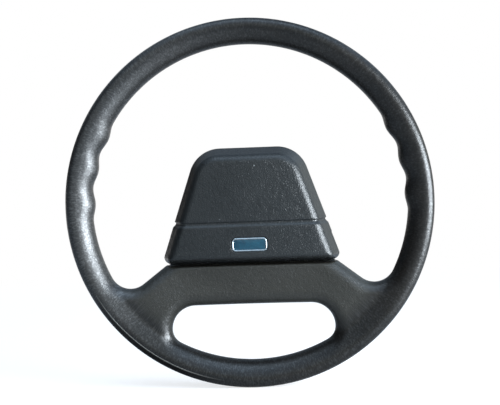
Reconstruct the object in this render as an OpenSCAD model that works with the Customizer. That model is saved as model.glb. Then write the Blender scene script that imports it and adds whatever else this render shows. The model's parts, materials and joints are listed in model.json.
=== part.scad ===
// Two-spoke car steering wheel with a press-in horn pad.
// Each part is drawn in a sketch frame: the wheel lies in XY, Y is up and Z points at the driver.
// place() turns the sketch frame into the row frame, where the steering shaft leaves along +Y.

/* [Rim] */
// outer diameter over the moulding
rim_outer_d = 380; // [372:1:388]
// radial thickness of the oval grip section
rim_section = 26.6; // [25.8:0.1:27.4]
// half thickness of the grip section, straight back from its middle
rim_half = 11.8; // [11.4:0.1:12.2]
// rise of the grip section's middle for each millimetre outwards
rim_lean = 0.4; // [0.34:0.01:0.46]
// height of the rim's middle plane over the hub's rear face
rim_plane = 62; // [61:0.5:64]
// radius of the steel ring's wire
rod_r = 4.5; // [4:0.1:4.6]

/* [Finger swells] */
// swells on each flank
swell_count = 3; // [2:1:3]
// how far a swell stands into the opening
swell_height = 3.2; // [2:0.1:3.4]
// angle from one swell to the next
swell_pitch = 12.4; // [12:0.1:13]
// angle of the lowest swell over the horizontal
swell_first = 1.5; // [0:0.5:4]

/* [Spokes and lower bar] */
// slope of the spokes' upper edges under the horizontal
spoke_slope = 37; // [35:0.5:39]
// distance from the wheel axis at which an upper edge line passes
spoke_line = -3.9; // [-5:0.1:-3]
// radius where a spoke's upper edge turns into the rim
notch_r = 21.5; // [20:0.5:24]
// depth of the dish from the rim's plane to the bar
dish = 15; // [14:0.5:16]
// half thickness of the spokes and the bar
bar_half = 12.5; // [12.3:0.1:12.6]

/* [Window] */
// thickness of the rim along the window
window_rim = 27.6; // [26.8:0.1:28.4]
// height of the window over its lowest point
window_height = 57; // [55:0.1:59]
// height of the window's ends before their corners are rounded
window_end = 33.1; // [32:0.1:36]
// radius of the window's upper corners
window_upper_r = 24; // [20:0.5:26]
// radius of the window's lower corners
window_lower_r = 16; // [13:0.5:18]

/* [Horn pad] */
// height of the pad's upper edge over the wheel axis
pad_top = 57.6; // [55:0.1:60]
// depth of the pad's lower edge under the wheel axis
pad_bottom = 62.6; // [61:0.1:64]
// half width of the pad where its upper edge and side would meet
pad_top_half = 53; // [51:0.1:55]
// lean of the pad's sides from the vertical
pad_lean = 19.3; // [18:0.1:20.5]
// radius of the pad's upper corners
pad_upper_r = 33; // [30:0.5:36]
// radius of the pad's lower corners
pad_lower_r = 10; // [8:0.5:12]
// height of the pad's front face over the hub's rear face
pad_face = 72; // [71.5:0.1:72.5]
// radius of the pad's front edge
pad_edge_r = 9; // [8:0.25:10]
// thickness of the pad's walls
pad_wall = 3; // [2.8:0.1:3.2]
// depth of the groove across the pad
groove_depth = 1.8; // [1.2:0.1:2]
// width of the groove
groove_width = 4; // [3:0.2:5]
// distance from the wheel axis down to the groove's middle
groove_down = 19.6; // [17:0.2:22]
// travel of the horn pad
pad_travel = 2.5; // [1.5:0.1:2.5]

/* [Badge plate] */
// width over the bezel
badge_width = 36; // [32:0.5:38]
// height over the bezel
badge_height = 14; // [13:0.5:15]
// distance from the wheel axis down to the plate's middle
badge_down = 41.5; // [40:0.5:43]

/* [Hub] */
// radius of the plain bore that pilots the shaft
bore_r = 9.25; // [9.1:0.05:9.4]
// length of that plain bore
bore_length = 12; // [10:0.5:14]
// teeth of the fine serration
tooth_count = 36; // [36:1:40]
// tip radius of the serration in the hub
tooth_outer_r = 8.75; // [8.7:0.05:8.9]
// root radius of the serration in the hub
tooth_inner_r = 8.15; // [8.0:0.05:8.2]
// radius of the hub boss
boss_r = 17; // [16:0.5:17]
// radius of the boss above the plate
spigot_r = 14; // [13:0.25:14]
// height of the nut seat over the hub's rear face
nut_seat = 46; // [45:0.5:47]

/* [Hidden] */

round_fn = 64;
rim_steps = 120;
edge_steps = 8;
fit_gap = 0.2;
stop_gap = 0.35;

rim_r = rim_outer_d / 2;
section_r = rim_section / 2;
core_r = rim_r - section_r;
opening_r = rim_r - rim_section;
dish_outer = opening_r;
dish_inner = dish_outer - 80;
window_rim_r = rim_r - window_rim;
window_top = window_rim_r - window_height;
window_half = sqrt(pow(window_rim_r, 2) - pow(window_top + window_end, 2));

// the steel plate
plate_thick = 3;
plate_back = 38;
plate_front = plate_back + plate_thick;
hub_disc_r = 48;
arm_root = [56, 28.3 - window_top];
arm_root_r = 12;
arm_width = 22;
arm_tip_angle = -43.4;

// the stack of the horn pad
pocket_floor = 44.8;
pocket_gap = 1.5;
skirt_back = 48;
skirt_deep = plate_front;
skirt_step = -33;
carrier_back = 52;
carrier_thick = 3;
carrier_front = carrier_back + carrier_thick;
horn_plate_thick = 1;
horn_ring_inner = 25;
horn_ring_outer = 32;
horn_tongue = 11;
stake_y = (horn_ring_inner + horn_ring_outer) / 2 - 0.5;
bush_flange = 1.2;
bush_front = carrier_front + 1;
head_seat = bush_front + stop_gap;
head_thick = 3;
screw_shoulder_r = 3;
bush_bore_r = screw_shoulder_r + 0.3;
bush_body_r = 5;
bush_flange_r = 7.5;
guide_x = hub_disc_r - 15;
guide_y = 24;
contact_x = hub_disc_r - 8;
fixed_contact_top = carrier_back - 5.5 - pad_travel - stop_gap;
carrier_hole_r = 24;
carrier_screw_inset = 18;
carrier_screw_up = pad_top - 21.6;
carrier_screw_low = 18.6 - pad_bottom;
carrier_screw_xy = [for (y = [carrier_screw_up, carrier_screw_low]) for (s = [-1, 1])
    [s * side_x(pad_side(carrier_screw_inset), y), y]];
guide_xy = [[-guide_x, guide_y], [guide_x, guide_y], [-guide_x, -guide_y], [guide_x, -guide_y]];

// behind the plate
shroud_front = plate_back - fit_gap;
shroud_back = -8;
shroud_front_r = 56;
shroud_back_r = 46.5;
shroud_belly = [54.5, 28];
shroud_waist = [50, 6];
shroud_wall = 2.5;
web_back = 30;
web_thick = 3;
shroud_screw_ring = 33;
shroud_screw_angles = [90, 245, 295];
disc_r = 39;
disc_back = 5;
disc_thick = 4;
neck_r = 20;
ring_inner_r = 25;
ring_outer_r = 31;
ring_thick = 1.5;
pin_xy = [14, 24.2];
pin_r = 1.5;
feed_pin_top = plate_front + 2;

module place() {
    rotate([90, 0, 0]) children();
}

// Everything inside comes out as one mesh, which suits free-form skins.
module as_one_skin() {
    resize([0, 0, 0]) children();
}

// Outer radius of the shroud's wall between its belly and its front edge.
function shroud_r(z) = shroud_belly[0] + (shroud_front_r - shroud_belly[0])
    * (z - shroud_belly[1]) / (shroud_front - shroud_belly[1]);

// Height of the moulding's middle surface at a distance from the wheel axis.
function dish_share(rho) = min(1, max(0, (dish_outer - rho) / (dish_outer - dish_inner)));
function mid_height(rho) = rim_plane + rim_lean * (max(rho, opening_r) - core_r)
    - (dish - rim_lean * section_r) * (1 - cos(180 * dish_share(rho))) / 2;
function half_height(rho) = rim_half + (bar_half - rim_half) * min(1, max(0, (core_r - rho) / 20));
function unit(v) = v / norm(v);
function heading(angle) = [cos(angle), sin(angle)];

// An outline is a list of [point, outward normal], so that it can be drawn at any offset.
function arc_frames(centre, r, from, to, steps) =
    [for (i = [0:steps]) let (n = heading(from + (to - from) * i / steps)) [centre + r * n, n]];
function bend_frames(centre, r, from, to, steps) =
    [for (i = [0:steps]) let (n = heading(from + (to - from) * i / steps)) [centre - r * n, n]];
function mirror_frame(f) = [[-f[0][0], f[0][1]], [-f[1][0], f[1][1]]];
function both_sides(half) = concat(half,
    [for (i = [len(half) - 2:-1:1]) mirror_frame(half[i])]);
function drawn_at(frames, d) = [for (f = frames) f[0] + d * f[1]];

// Inner radius of the rim with its finger swells.
swell_end = swell_first + (swell_count - 0.5) * swell_pitch;
swell_start = swell_first - 0.5 * swell_pitch;
function swell_r(a) = (a < swell_start || a > swell_end) ? opening_r
    : opening_r - swell_height * (1 + cos(360 * (a - swell_first) / swell_pitch)) / 2;
function swell_slope(a) = (swell_r(a + 0.05) - swell_r(a - 0.05)) / 0.1 * 180 / PI;
function rim_frame(a) = let (r = swell_r(a), u = heading(a), t = [-sin(a), cos(a)])
    [r * u, unit(r * u - swell_slope(a) * t)];

// Upper opening: from the tongue behind the pad, down the spoke, round the notch and up the rim.
spoke_normal = heading(-90 - spoke_slope);
spoke_run = heading(-spoke_slope);
notch_depth = spoke_line - notch_r;
notch_out = sqrt(pow(opening_r - notch_r, 2) - pow(notch_depth, 2));
notch_centre = notch_out * spoke_run + notch_depth * spoke_normal;
notch_end = atan2(notch_centre[1], notch_centre[0]);
tongue_top = -36;
tongue_r = 22;
tongue_y = tongue_top - tongue_r;
tongue_x = (spoke_line + tongue_r - spoke_normal[1] * tongue_y) / spoke_normal[0];
flank_steps = ceil((swell_start - notch_end) / 3.4);
swell_steps = swell_count * 6;
crown_steps = ceil((90 - swell_end) / 3.4);
upper_half = concat(
    [[[0, tongue_top], [0, -1]]],
    bend_frames([tongue_x, tongue_y], tongue_r, -90, -90 - spoke_slope, 3),
    arc_frames(notch_centre, notch_r, -90 - spoke_slope, notch_end, 8),
    [for (i = [1:flank_steps]) rim_frame(notch_end + (swell_start - notch_end) * i / flank_steps)],
    [for (i = [1:swell_steps]) rim_frame(swell_start + (swell_end - swell_start) * i / swell_steps)],
    [for (i = [1:crown_steps]) rim_frame(swell_end + (90 - swell_end) * i / crown_steps)]);

// Window: from the bottom along the rim, round two corners and back along the bar.
low_corner_x = window_half - window_lower_r;
low_corner_y = -sqrt(pow(window_rim_r - window_lower_r, 2) - pow(low_corner_x, 2));
low_corner_angle = atan2(low_corner_y, low_corner_x);
window_half_frames = concat(
    arc_frames([0, 0], window_rim_r, -90, low_corner_angle, 7),
    [for (f = arc_frames([low_corner_x, low_corner_y], window_lower_r, low_corner_angle, 0, 4))
        if (f[1][1] > sin(low_corner_angle) + 0.001) f],
    arc_frames([window_half - window_upper_r, -window_top - window_upper_r], window_upper_r, 6, 90, 5),
    [[[0, -window_top], [0, 1]]]);

// Sections of a cutter that leaves a fully rounded edge on the moulding.
edge_angles = [for (i = [0:edge_steps - 1]) -90 + 180 * (i + 0.5) / edge_steps];
function edge_offset(a) = section_r * (1 - cos(a));
function raised(points, share) = [for (p = points) let (rho = norm(p))
    [p[0], p[1], mid_height(rho) + share * half_height(rho)]];
function level(points, z) = [for (p = points) [p[0], p[1], z]];
function cutter_layers(frames) = concat(
    [level(drawn_at(frames, section_r), -40)],
    [raised(drawn_at(frames, section_r), -1.02)],
    [for (a = edge_angles) raised(drawn_at(frames, edge_offset(a)), sin(a))],
    [raised(drawn_at(frames, section_r), 1.02)],
    [level(drawn_at(frames, section_r), 140)]);

// Skin between equal rings of points, closed by its first and last ring.
module loft(rings) {
    count = len(rings[0]);
    points = [for (ring = rings) for (p = ring) p];
    walls = [for (j = [0:len(rings) - 2]) for (i = [0:count - 1])
        let (a = j * count + i, b = j * count + (i + 1) % count)
        each [[a, a + count, b + count], [a, b + count, b]]];
    top = [for (i = [count - 1:-1:0]) (len(rings) - 1) * count + i];
    bottom = [for (i = [0:count - 1]) i];
    polyhedron(points, concat([bottom], walls, [top]), convexity = 8);
}

module upper_cutter() {
    loft(cutter_layers(both_sides(upper_half)));
}

module window_cutter() {
    loft(cutter_layers(both_sides(window_half_frames)));
}

// Dished blank of the moulding, with its round outer edge.
module blank() {
    dish_points = [for (i = [0:6]) dish_outer + 4 - i * (dish_outer + 4 - dish_inner) / 6];
    radii = concat([core_r], dish_points, [34]);
    profile = concat(
        [for (a = [-90:180 / edge_steps:90]) let (rho = core_r + section_r * cos(a))
            [rho, mid_height(rho) + rim_half * sin(a)]],
        [for (rho = radii) if (rho < core_r) [rho, mid_height(rho) + half_height(rho)]],
        [for (i = [len(radii) - 1:-1:0]) if (radii[i] < core_r)
            [radii[i], mid_height(radii[i]) - half_height(radii[i])]]);
    rotate_extrude($fn = rim_steps) polygon(profile);
}

// Flat outline of the steel plate: the hub disc, and the bar that carries the arms.
module plate_outline(grow) {
    reach = norm(arm_root);
    lean = acos((hub_disc_r - arm_root_r) / reach);
    side = atan2(arm_root[1], arm_root[0]) + lean;
    hub_touch = hub_disc_r * heading(side);
    root_touch = arm_root + arm_root_r * heading(side);
    circle(r = hub_disc_r + grow, $fn = round_fn);
    for (s = [-1, 1])
        translate([s * arm_root[0], arm_root[1]]) circle(r = arm_root_r + grow, $fn = round_fn);
    polygon([[-hub_touch[0] - grow, hub_touch[1]], [-root_touch[0] - grow, root_touch[1]],
        [-arm_root[0], arm_root[1] - arm_root_r - grow], [arm_root[0], arm_root[1] - arm_root_r - grow],
        [root_touch[0] + grow, root_touch[1]], [hub_touch[0] + grow, hub_touch[1]]]);
}

// One cranked arm, from the bar up to the back of the steel ring.
arm_tip = core_r * heading(arm_tip_angle);
arm_flat = norm(arm_tip - arm_root);
arm_heading = atan2(arm_tip[1] - arm_root[1], arm_tip[0] - arm_root[0]);
arm_rise = rim_plane - rod_r - 0.15 - plate_front;
arm_slope = atan(arm_rise / arm_flat);
module arm(grow) {
    translate([arm_root[0], arm_root[1], plate_front])
        rotate([0, 0, arm_heading])
        rotate([0, -arm_slope, 0])
        translate([-2, -arm_width / 2 - grow, -plate_thick - grow])
        cube([arm_flat / cos(arm_slope) + 4 + grow, arm_width + 2 * grow, plate_thick + 2 * grow]);
}

module steel_shape(grow) {
    translate([0, 0, plate_back - grow])
        linear_extrude(plate_thick + 2 * grow) plate_outline(grow);
    arm(grow);
    mirror([1, 0, 0]) arm(grow);
}

// Half of the pad's outline at an inset; the lower edge moves less than the others.
pad_lower_share = 0.75;
function pad_side(inset) = pad_top_half * cos(pad_lean) + pad_top * sin(pad_lean) - inset;
function side_x(reach, y) = (reach - sin(pad_lean) * y) / cos(pad_lean);
function pad_half(inset) = let (
        ru = max(pad_upper_r - inset, 3),
        rl = max(pad_lower_r - inset, 2.5),
        yu = pad_top - inset - ru,
        yl = -pad_bottom + pad_lower_share * inset + rl)
    concat([[0, yl - rl]],
        [for (i = [0:4]) [side_x(pad_side(inset) - rl, yl), yl] + rl * heading(-90 + (90 + pad_lean) * i / 4)],
        [for (i = [0:6]) [side_x(pad_side(inset) - ru, yu), yu] + ru * heading(pad_lean + (90 - pad_lean) * i / 6)],
        [[0, yu + ru]]);
function pad_ring(inset) = let (half = pad_half(inset))
    concat(half, [for (i = [len(half) - 2:-1:1]) [-half[i][0], half[i][1]]]);

// Rings of the pad's skin: an upright hem, leaning walls, a rounded front edge and a slightly
// crowned face.
pad_draft = tan(19);
function pad_rings(shrink) = let (
        zc = pad_face - pad_edge_r,
        ic = pad_draft * (zc - skirt_back) + pad_edge_r / cos(19),
        r = pad_edge_r - shrink)
    concat([level(pad_ring(shrink), skirt_deep - (shrink > 0 ? 1 : 0))],
        [level(pad_ring(shrink), skirt_back)],
        [for (a = [19, 37, 55, 72, 90]) level(pad_ring(ic - r * cos(a)), zc + r * sin(a))],
        [level(pad_ring(ic + 12), pad_face - shrink + 0.6)],
        [level(pad_ring(ic + 26), pad_face - shrink + 1)]);

module pad_body(shrink) {
    loft(pad_rings(shrink));
}

// Room for the tongue of the moulding, under the lower part of the pad.
module tongue_room() {
    translate([-120, skirt_step - 100, skirt_deep - 10]) cube([240, 100, skirt_back - skirt_deep + 10]);
}

module pad_pocket() {
    translate([0, 0, pocket_floor])
        linear_extrude(60) polygon(pad_ring(-pocket_gap));
}

module rim_cover() {
    color([0.2, 0.2, 0.2])
        place() as_one_skin() difference() {
            blank();
            upper_cutter();
            window_cutter();
            pad_pocket();
            steel_shape(fit_gap);
            rotate_extrude($fn = 72)
                translate([core_r, rim_plane]) rotate(30) circle(r = rod_r + 1.1, $fn = 6);
        }
}

module rim_rod() {
    color([0.45, 0.45, 0.47])
        place() translate([0, 0, rim_plane])
        rotate_extrude($fn = 180) translate([core_r, 0]) circle(r = rod_r, $fn = 32);
}

module spoke_frame() {
    color([0.35, 0.35, 0.37])
        place() difference() {
            steel_shape(0);
            translate([0, 0, plate_back - 1]) cylinder(r = spigot_r + 0.05, h = 8, $fn = round_fn);
            for (p = guide_xy)
                translate([p[0], p[1], plate_back - 1]) cylinder(r = 2.5, h = 8, $fn = 32);
            for (a = shroud_screw_angles)
                translate(concat(shroud_screw_ring * heading(a), [plate_back - 1]))
                    cylinder(r = 2.05, h = 8, $fn = 32);
            for (s = [-1, 1])
                translate([s * contact_x, 0, plate_back - 1]) cylinder(r = 1.6, h = 8, $fn = 32);
            translate([pin_xy[0], pin_xy[1], plate_back - 1]) cylinder(r = 3.05, h = 8, $fn = 32);
        }
}

module tooth_space() {
    linear_extrude(bore_length + 30)
        polygon([for (i = [0:2 * tooth_count - 1])
            (i % 2 == 0 ? tooth_inner_r : tooth_outer_r) * heading(180 * i / tooth_count)]);
}

module hub_boss() {
    color([0.55, 0.55, 0.57])
        place() difference() {
            union() {
                cylinder(r = boss_r, h = plate_back - 0.02, $fn = round_fn);
                cylinder(r = spigot_r, h = nut_seat, $fn = round_fn);
                translate([0, 0, plate_front + 0.02])
                    cylinder(r1 = spigot_r + 3, r2 = spigot_r, h = 2.5, $fn = round_fn);
            }
            translate([0, 0, -1]) cylinder(r = bore_r, h = bore_length + 1, $fn = round_fn);
            translate([0, 0, bore_length - 1]) intersection() {
                tooth_space();
                cylinder(r = 20, h = 29, $fn = round_fn);
            }
            translate([0, 0, bore_length + 20]) cylinder(r = 9, h = 40, $fn = round_fn);
            translate([0, 0, nut_seat - 1]) cylinder(r1 = 9, r2 = 10.2, h = 1.01, $fn = round_fn);
        }
}

module shroud_bosses(r, from, to) {
    for (a = shroud_screw_angles)
        translate(concat(shroud_screw_ring * heading(a), [from]))
            cylinder(r = r, h = to - from, $fn = 32);
}

module back_shroud() {
    outer = [[shroud_back_r - 1.5, shroud_back], [shroud_back_r, shroud_back + 1.5], shroud_waist,
        shroud_belly, [shroud_front_r, shroud_front]];
    inner = [for (i = [len(outer) - 1:-1:0]) outer[i] - [shroud_wall, 0]];
    color([0.13, 0.13, 0.14])
        place() difference() {
            union() {
                rotate_extrude($fn = 120) polygon(concat(outer, inner));
                difference() {
                    translate([0, 0, web_back]) cylinder(r = shroud_r(web_back) - 1, h = web_thick, $fn = 120);
                    translate([0, 0, web_back - 1])
                        cylinder(r = neck_r + fit_gap, h = web_thick + 2, $fn = round_fn);
                }
                shroud_bosses(5, web_back, shroud_front);
            }
            shroud_bosses(2.05, web_back - 1, plate_back + 1);
            translate([pin_xy[0], pin_xy[1], web_back - 1]) cylinder(r = 2.2, h = web_thick + 2, $fn = 32);
            translate([-2 * shroud_front_r, tongue_top + 2 - 2 * shroud_front_r,
                mid_height(dish_inner) - bar_half - 2 * fit_gap])
                cube([4 * shroud_front_r, 2 * shroud_front_r, 20]);
        }
}

module slip_ring_carrier() {
    color([0.1, 0.1, 0.11])
        place() difference() {
            union() {
                translate([0, 0, disc_back]) cylinder(r = disc_r, h = disc_thick, $fn = 96);
                translate([0, 0, disc_back]) cylinder(r = neck_r, h = web_back + web_thick - disc_back, $fn = round_fn);
                for (s = [0, 180]) rotate([0, 0, s])
                    translate([18.2, -4.5, -5]) cube([5, 9, 12]);
            }
            translate([0, 0, -10]) cylinder(r = boss_r + 0.1, h = 60, $fn = round_fn);
            translate([pin_xy[0], pin_xy[1], disc_back - 1]) cylinder(r = pin_r + 0.05, h = disc_thick + 2, $fn = 32);
        }
}

module slip_ring() {
    color([0.78, 0.6, 0.28])
        place() translate([0, 0, disc_back - ring_thick]) difference() {
            cylinder(r = ring_outer_r, h = ring_thick, $fn = 96);
            translate([0, 0, -1]) cylinder(r = ring_inner_r, h = ring_thick + 2, $fn = 96);
        }
}

module feed_pin() {
    color([0.78, 0.6, 0.28])
        place() translate([pin_xy[0], pin_xy[1], 0]) union() {
            translate([0, 0, disc_back]) cylinder(r = pin_r, h = feed_pin_top - disc_back, $fn = 32);
            translate([0, 0, feed_pin_top - 0.8]) cylinder(r = 3, h = 0.8, $fn = 32);
        }
}

module pin_sleeve() {
    color([0.85, 0.84, 0.78])
        place() translate([pin_xy[0], pin_xy[1], plate_back - 1.5]) difference() {
            union() {
                cylinder(r = 3, h = feed_pin_top - 0.8 - plate_back + 1.5, $fn = 32);
                cylinder(r = 4.2, h = 1.48, $fn = 32);
            }
            translate([0, 0, -1]) cylinder(r = pin_r + 0.05, h = 12, $fn = 32);
        }
}

// Coil of round wire as one skin, standing on its lower end.
module coil(mean_r, wire_r, turns, length) {
    steps = ceil(turns * 12);
    rise = length - 2 * wire_r;
    rings = [for (i = [0:steps])
        let (a = 360 * turns * i / steps, z = wire_r + rise * i / steps)
        [for (j = [0:5]) let (b = 60 * j)
            [(mean_r + wire_r * cos(b)) * cos(a), (mean_r + wire_r * cos(b)) * sin(a), z + wire_r * sin(b)]]];
    loft([for (i = [steps:-1:0]) rings[i]]);
}

module feed_spring() {
    color([0.7, 0.7, 0.72])
        place() as_one_skin() translate([pin_xy[0], pin_xy[1], feed_pin_top + 0.05])
            coil(2.2, 0.35, 4, carrier_back - horn_plate_thick - feed_pin_top - 0.1);
}

module guide_screw(i) {
    color([0.6, 0.6, 0.62])
        place() translate([guide_xy[i][0], guide_xy[i][1], 0]) difference() {
            union() {
                translate([0, 0, plate_front - 5.5]) cylinder(r = 2.45, h = 6, $fn = 32);
                translate([0, 0, plate_front + 0.02])
                    cylinder(r = screw_shoulder_r, h = head_seat - plate_front, $fn = 32);
                translate([0, 0, head_seat]) cylinder(r = 6.5, h = head_thick, $fn = 48);
            }
            translate([0, 0, head_seat + 1]) cylinder(r = 2.3, h = 4, $fn = 6);
        }
}

module horn_spring(i) {
    color([0.7, 0.7, 0.72])
        place() as_one_skin() translate([guide_xy[i][0], guide_xy[i][1], plate_front + 0.05])
            coil(5.2, 0.55, 3.5, carrier_back - bush_flange - plate_front - 0.1);
}

module fixed_contact(s) {
    color([0.8, 0.62, 0.4])
        place() translate([s * contact_x, 0, 0]) union() {
            translate([0, 0, plate_back - 0.6]) cylinder(r = 1.55, h = 6, $fn = 32);
            translate([0, 0, plate_front + 0.02]) cylinder(r = 4, h = fixed_contact_top - plate_front, $fn = 48);
            translate([0, 0, plate_back - 1]) cylinder(r = 2.6, h = 0.98, $fn = 32);
        }
}

module shroud_screw(i) {
    color([0.5, 0.5, 0.52])
        place() translate(concat(shroud_screw_ring * heading(shroud_screw_angles[i]), [0])) difference() {
            union() {
                translate([0, 0, web_back - 0.1]) cylinder(r = 2, h = plate_front + 2.5 - web_back, $fn = 32);
                translate([0, 0, web_back - 2.6]) cylinder(r = 4, h = 2.58, $fn = 40);
            }
            translate([0, 0, web_back - 3]) cylinder(r = 1.9, h = 1.8, $fn = 6);
        }
}

// The pad's groove is what lies in a level slab outside a slightly smaller pad.
module groove() {
    difference() {
        translate([-120, -groove_down - groove_width / 2, skirt_deep - 5])
            cube([240, groove_width, 60]);
        pad_body(groove_depth);
    }
}

module badge_outline(grow) {
    w = badge_width / 2 - 4;
    h = badge_height / 2 - 4;
    for (x = [-w, w]) for (y = [-h, h])
        translate([x, y]) circle(r = 4 + grow, $fn = 24);
    square([2 * w, badge_height + 2 * grow], center = true);
    square([badge_width + 2 * grow, 2 * h], center = true);
}

module pad_boss(p) {
    translate([p[0], p[1], carrier_front]) cylinder(r = 4.5, h = pad_face - carrier_front - 1.5, $fn = 20);
}

badge_seat = pad_face - 0.8;
module pad_cover() {
    color([0.23, 0.24, 0.26])
        place() as_one_skin() difference() {
            union() {
                difference() {
                    pad_body(0);
                    pad_body(pad_wall);
                }
                intersection() {
                    pad_body(1);
                    union() for (p = carrier_screw_xy) pad_boss(p);
                }
            }
            groove();
            tongue_room();
            translate([0, -badge_down, badge_seat]) linear_extrude(6) badge_outline(0.15);
            for (s = [-1, 1])
                translate([s * 11, -badge_down, pad_face - 8]) cylinder(r = 1.6, h = 12, $fn = 16);
            for (p = carrier_screw_xy)
                translate([p[0], p[1], carrier_front - 1]) cylinder(r = 1.7, h = 10, $fn = 16);
        }
}

carrier_inset = pad_wall + 0.3 + pad_draft * (carrier_front - skirt_back);
module pad_carrier() {
    color([0.12, 0.12, 0.13])
        place() difference() {
            union() {
                translate([0, 0, carrier_back])
                    linear_extrude(carrier_thick - 0.02) polygon(pad_ring(carrier_inset));
                translate([0, 0, carrier_back]) cylinder(r = carrier_hole_r + 2.5, h = carrier_thick + 3, $fn = 96);
                for (s = [-1, 1])
                    translate([0, s * stake_y, carrier_back - 1.9]) cylinder(r = 1.5, h = 3, $fn = 24);
            }
            translate([0, 0, carrier_back - 5]) cylinder(r = carrier_hole_r, h = 20, $fn = 96);
            for (p = guide_xy)
                translate([p[0], p[1], carrier_back - 1]) cylinder(r = bush_body_r + 0.05, h = 9, $fn = 48);
            for (p = carrier_screw_xy)
                translate([p[0], p[1], carrier_back - 1]) cylinder(r = 1.7, h = 9, $fn = 32);
            for (s = [-1, 1])
                translate([s * contact_x, 0, carrier_back - 1]) cylinder(r = 2.2, h = 3, $fn = 32);
        }
}

module horn_plate() {
    color([0.72, 0.7, 0.62])
        place() translate([0, 0, carrier_back - horn_plate_thick - 0.02]) linear_extrude(horn_plate_thick)
            difference() {
                union() {
                    circle(r = horn_ring_outer, $fn = 96);
                    square([2 * contact_x + 10, horn_tongue], center = true);
                }
                circle(r = horn_ring_inner, $fn = 96);
                for (s = [-1, 1]) translate([0, s * stake_y]) circle(r = 1.55, $fn = 24);
                for (s = [-1, 1]) translate([s * contact_x, 0]) circle(r = 1.55, $fn = 32);
            }
}

module moving_contact(s) {
    color([0.8, 0.62, 0.4])
        place() translate([s * contact_x, 0, 0]) union() {
            translate([0, 0, carrier_back - 5.5]) cylinder(r = 3.6, h = 4.46, $fn = 48);
            translate([0, 0, carrier_back - 2]) cylinder(r = 1.5, h = 3, $fn = 32);
            translate([0, 0, carrier_back]) cylinder(r = 2.1, h = 1.2, $fn = 32);
        }
}

module guide_bush(i) {
    color([0.86, 0.85, 0.8])
        place() translate([guide_xy[i][0], guide_xy[i][1], 0]) difference() {
            union() {
                translate([0, 0, carrier_back - bush_flange])
                    cylinder(r = bush_flange_r, h = bush_flange - 0.02, $fn = 48);
                translate([0, 0, carrier_back - bush_flange])
                    cylinder(r = bush_body_r, h = bush_front - carrier_back + bush_flange, $fn = 48);
            }
            translate([0, 0, carrier_back - 5]) cylinder(r = bush_bore_r, h = 20, $fn = 48);
        }
}

module carrier_screw(i) {
    color([0.5, 0.5, 0.52])
        place() translate([carrier_screw_xy[i][0], carrier_screw_xy[i][1], 0]) difference() {
            union() {
                translate([0, 0, carrier_back - 0.1]) cylinder(r = 1.5, h = 12, $fn = 24);
                translate([0, 0, carrier_back - 2.2]) cylinder(r = 3.6, h = 2.18, $fn = 40);
            }
            translate([0, 0, carrier_back - 3]) cylinder(r = 1.6, h = 1.9, $fn = 6);
        }
}

bezel_top = pad_face + 1.5;
module badge_bezel() {
    color([0.8, 0.8, 0.82])
        place() translate([0, -badge_down, 0]) difference() {
            union() {
                translate([0, 0, badge_seat + 0.02]) linear_extrude(bezel_top - badge_seat - 0.02) badge_outline(0);
                for (s = [-1, 1])
                    translate([s * 11, 0, pad_face - 8]) cylinder(r = 1.5, h = 8, $fn = 24);
            }
            translate([0, 0, bezel_top - 1]) linear_extrude(3) badge_outline(-1.8);
        }
}

module badge_inlay() {
    color([0.1, 0.16, 0.3])
        place() translate([0, -badge_down, bezel_top - 0.98]) linear_extrude(0.8) badge_outline(-1.85);
}

module badge_clip(s) {
    color([0.5, 0.5, 0.52])
        place() translate([s * 11, -badge_down, pad_face - 5.4]) difference() {
            cylinder(r = 4, h = 0.6, $fn = 40);
            translate([0, 0, -1]) cylinder(r = 1.53, h = 3, $fn = 24);
        }
}

rim_cover();
rim_rod();
spoke_frame();
hub_boss();
back_shroud();
slip_ring_carrier();
slip_ring();
feed_pin();
pin_sleeve();
feed_spring();
guide_screw(0);  // guide_screw_1
guide_screw(1);  // guide_screw_2
guide_screw(2);  // guide_screw_3
guide_screw(3);  // guide_screw_4
horn_spring(0);  // horn_spring_1
horn_spring(1);  // horn_spring_2
horn_spring(2);  // horn_spring_3
horn_spring(3);  // horn_spring_4
fixed_contact(-1);  // fixed_contact_l
fixed_contact(1);  // fixed_contact_r
shroud_screw(0);  // shroud_screw_1
shroud_screw(1);  // shroud_screw_2
shroud_screw(2);  // shroud_screw_3
pad_cover();
pad_carrier();
horn_plate();
moving_contact(-1);  // moving_contact_l
moving_contact(1);  // moving_contact_r
guide_bush(0);  // guide_bush_1
guide_bush(1);  // guide_bush_2
guide_bush(2);  // guide_bush_3
guide_bush(3);  // guide_bush_4
carrier_screw(0);  // carrier_screw_1
carrier_screw(1);  // carrier_screw_2
carrier_screw(2);  // carrier_screw_3
carrier_screw(3);  // carrier_screw_4
badge_bezel();
badge_inlay();
badge_clip(-1);  // badge_clip_l
badge_clip(1);  // badge_clip_r
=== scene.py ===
"""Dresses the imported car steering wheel: moulded skins, fasteners, springs, finishes, floor, lamps, camera.

Lengths are metres in the row frame. X points to the right, Z up the wheel, and the driver sits on the -Y
side, so a height over the hub's rear face is -Y.
"""
import json
import logging
import math
from collections.abc import Callable, Iterable, Sequence
from dataclasses import dataclass
from enum import Enum

import bmesh
import bpy
from mathutils import Matrix, Vector


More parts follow.
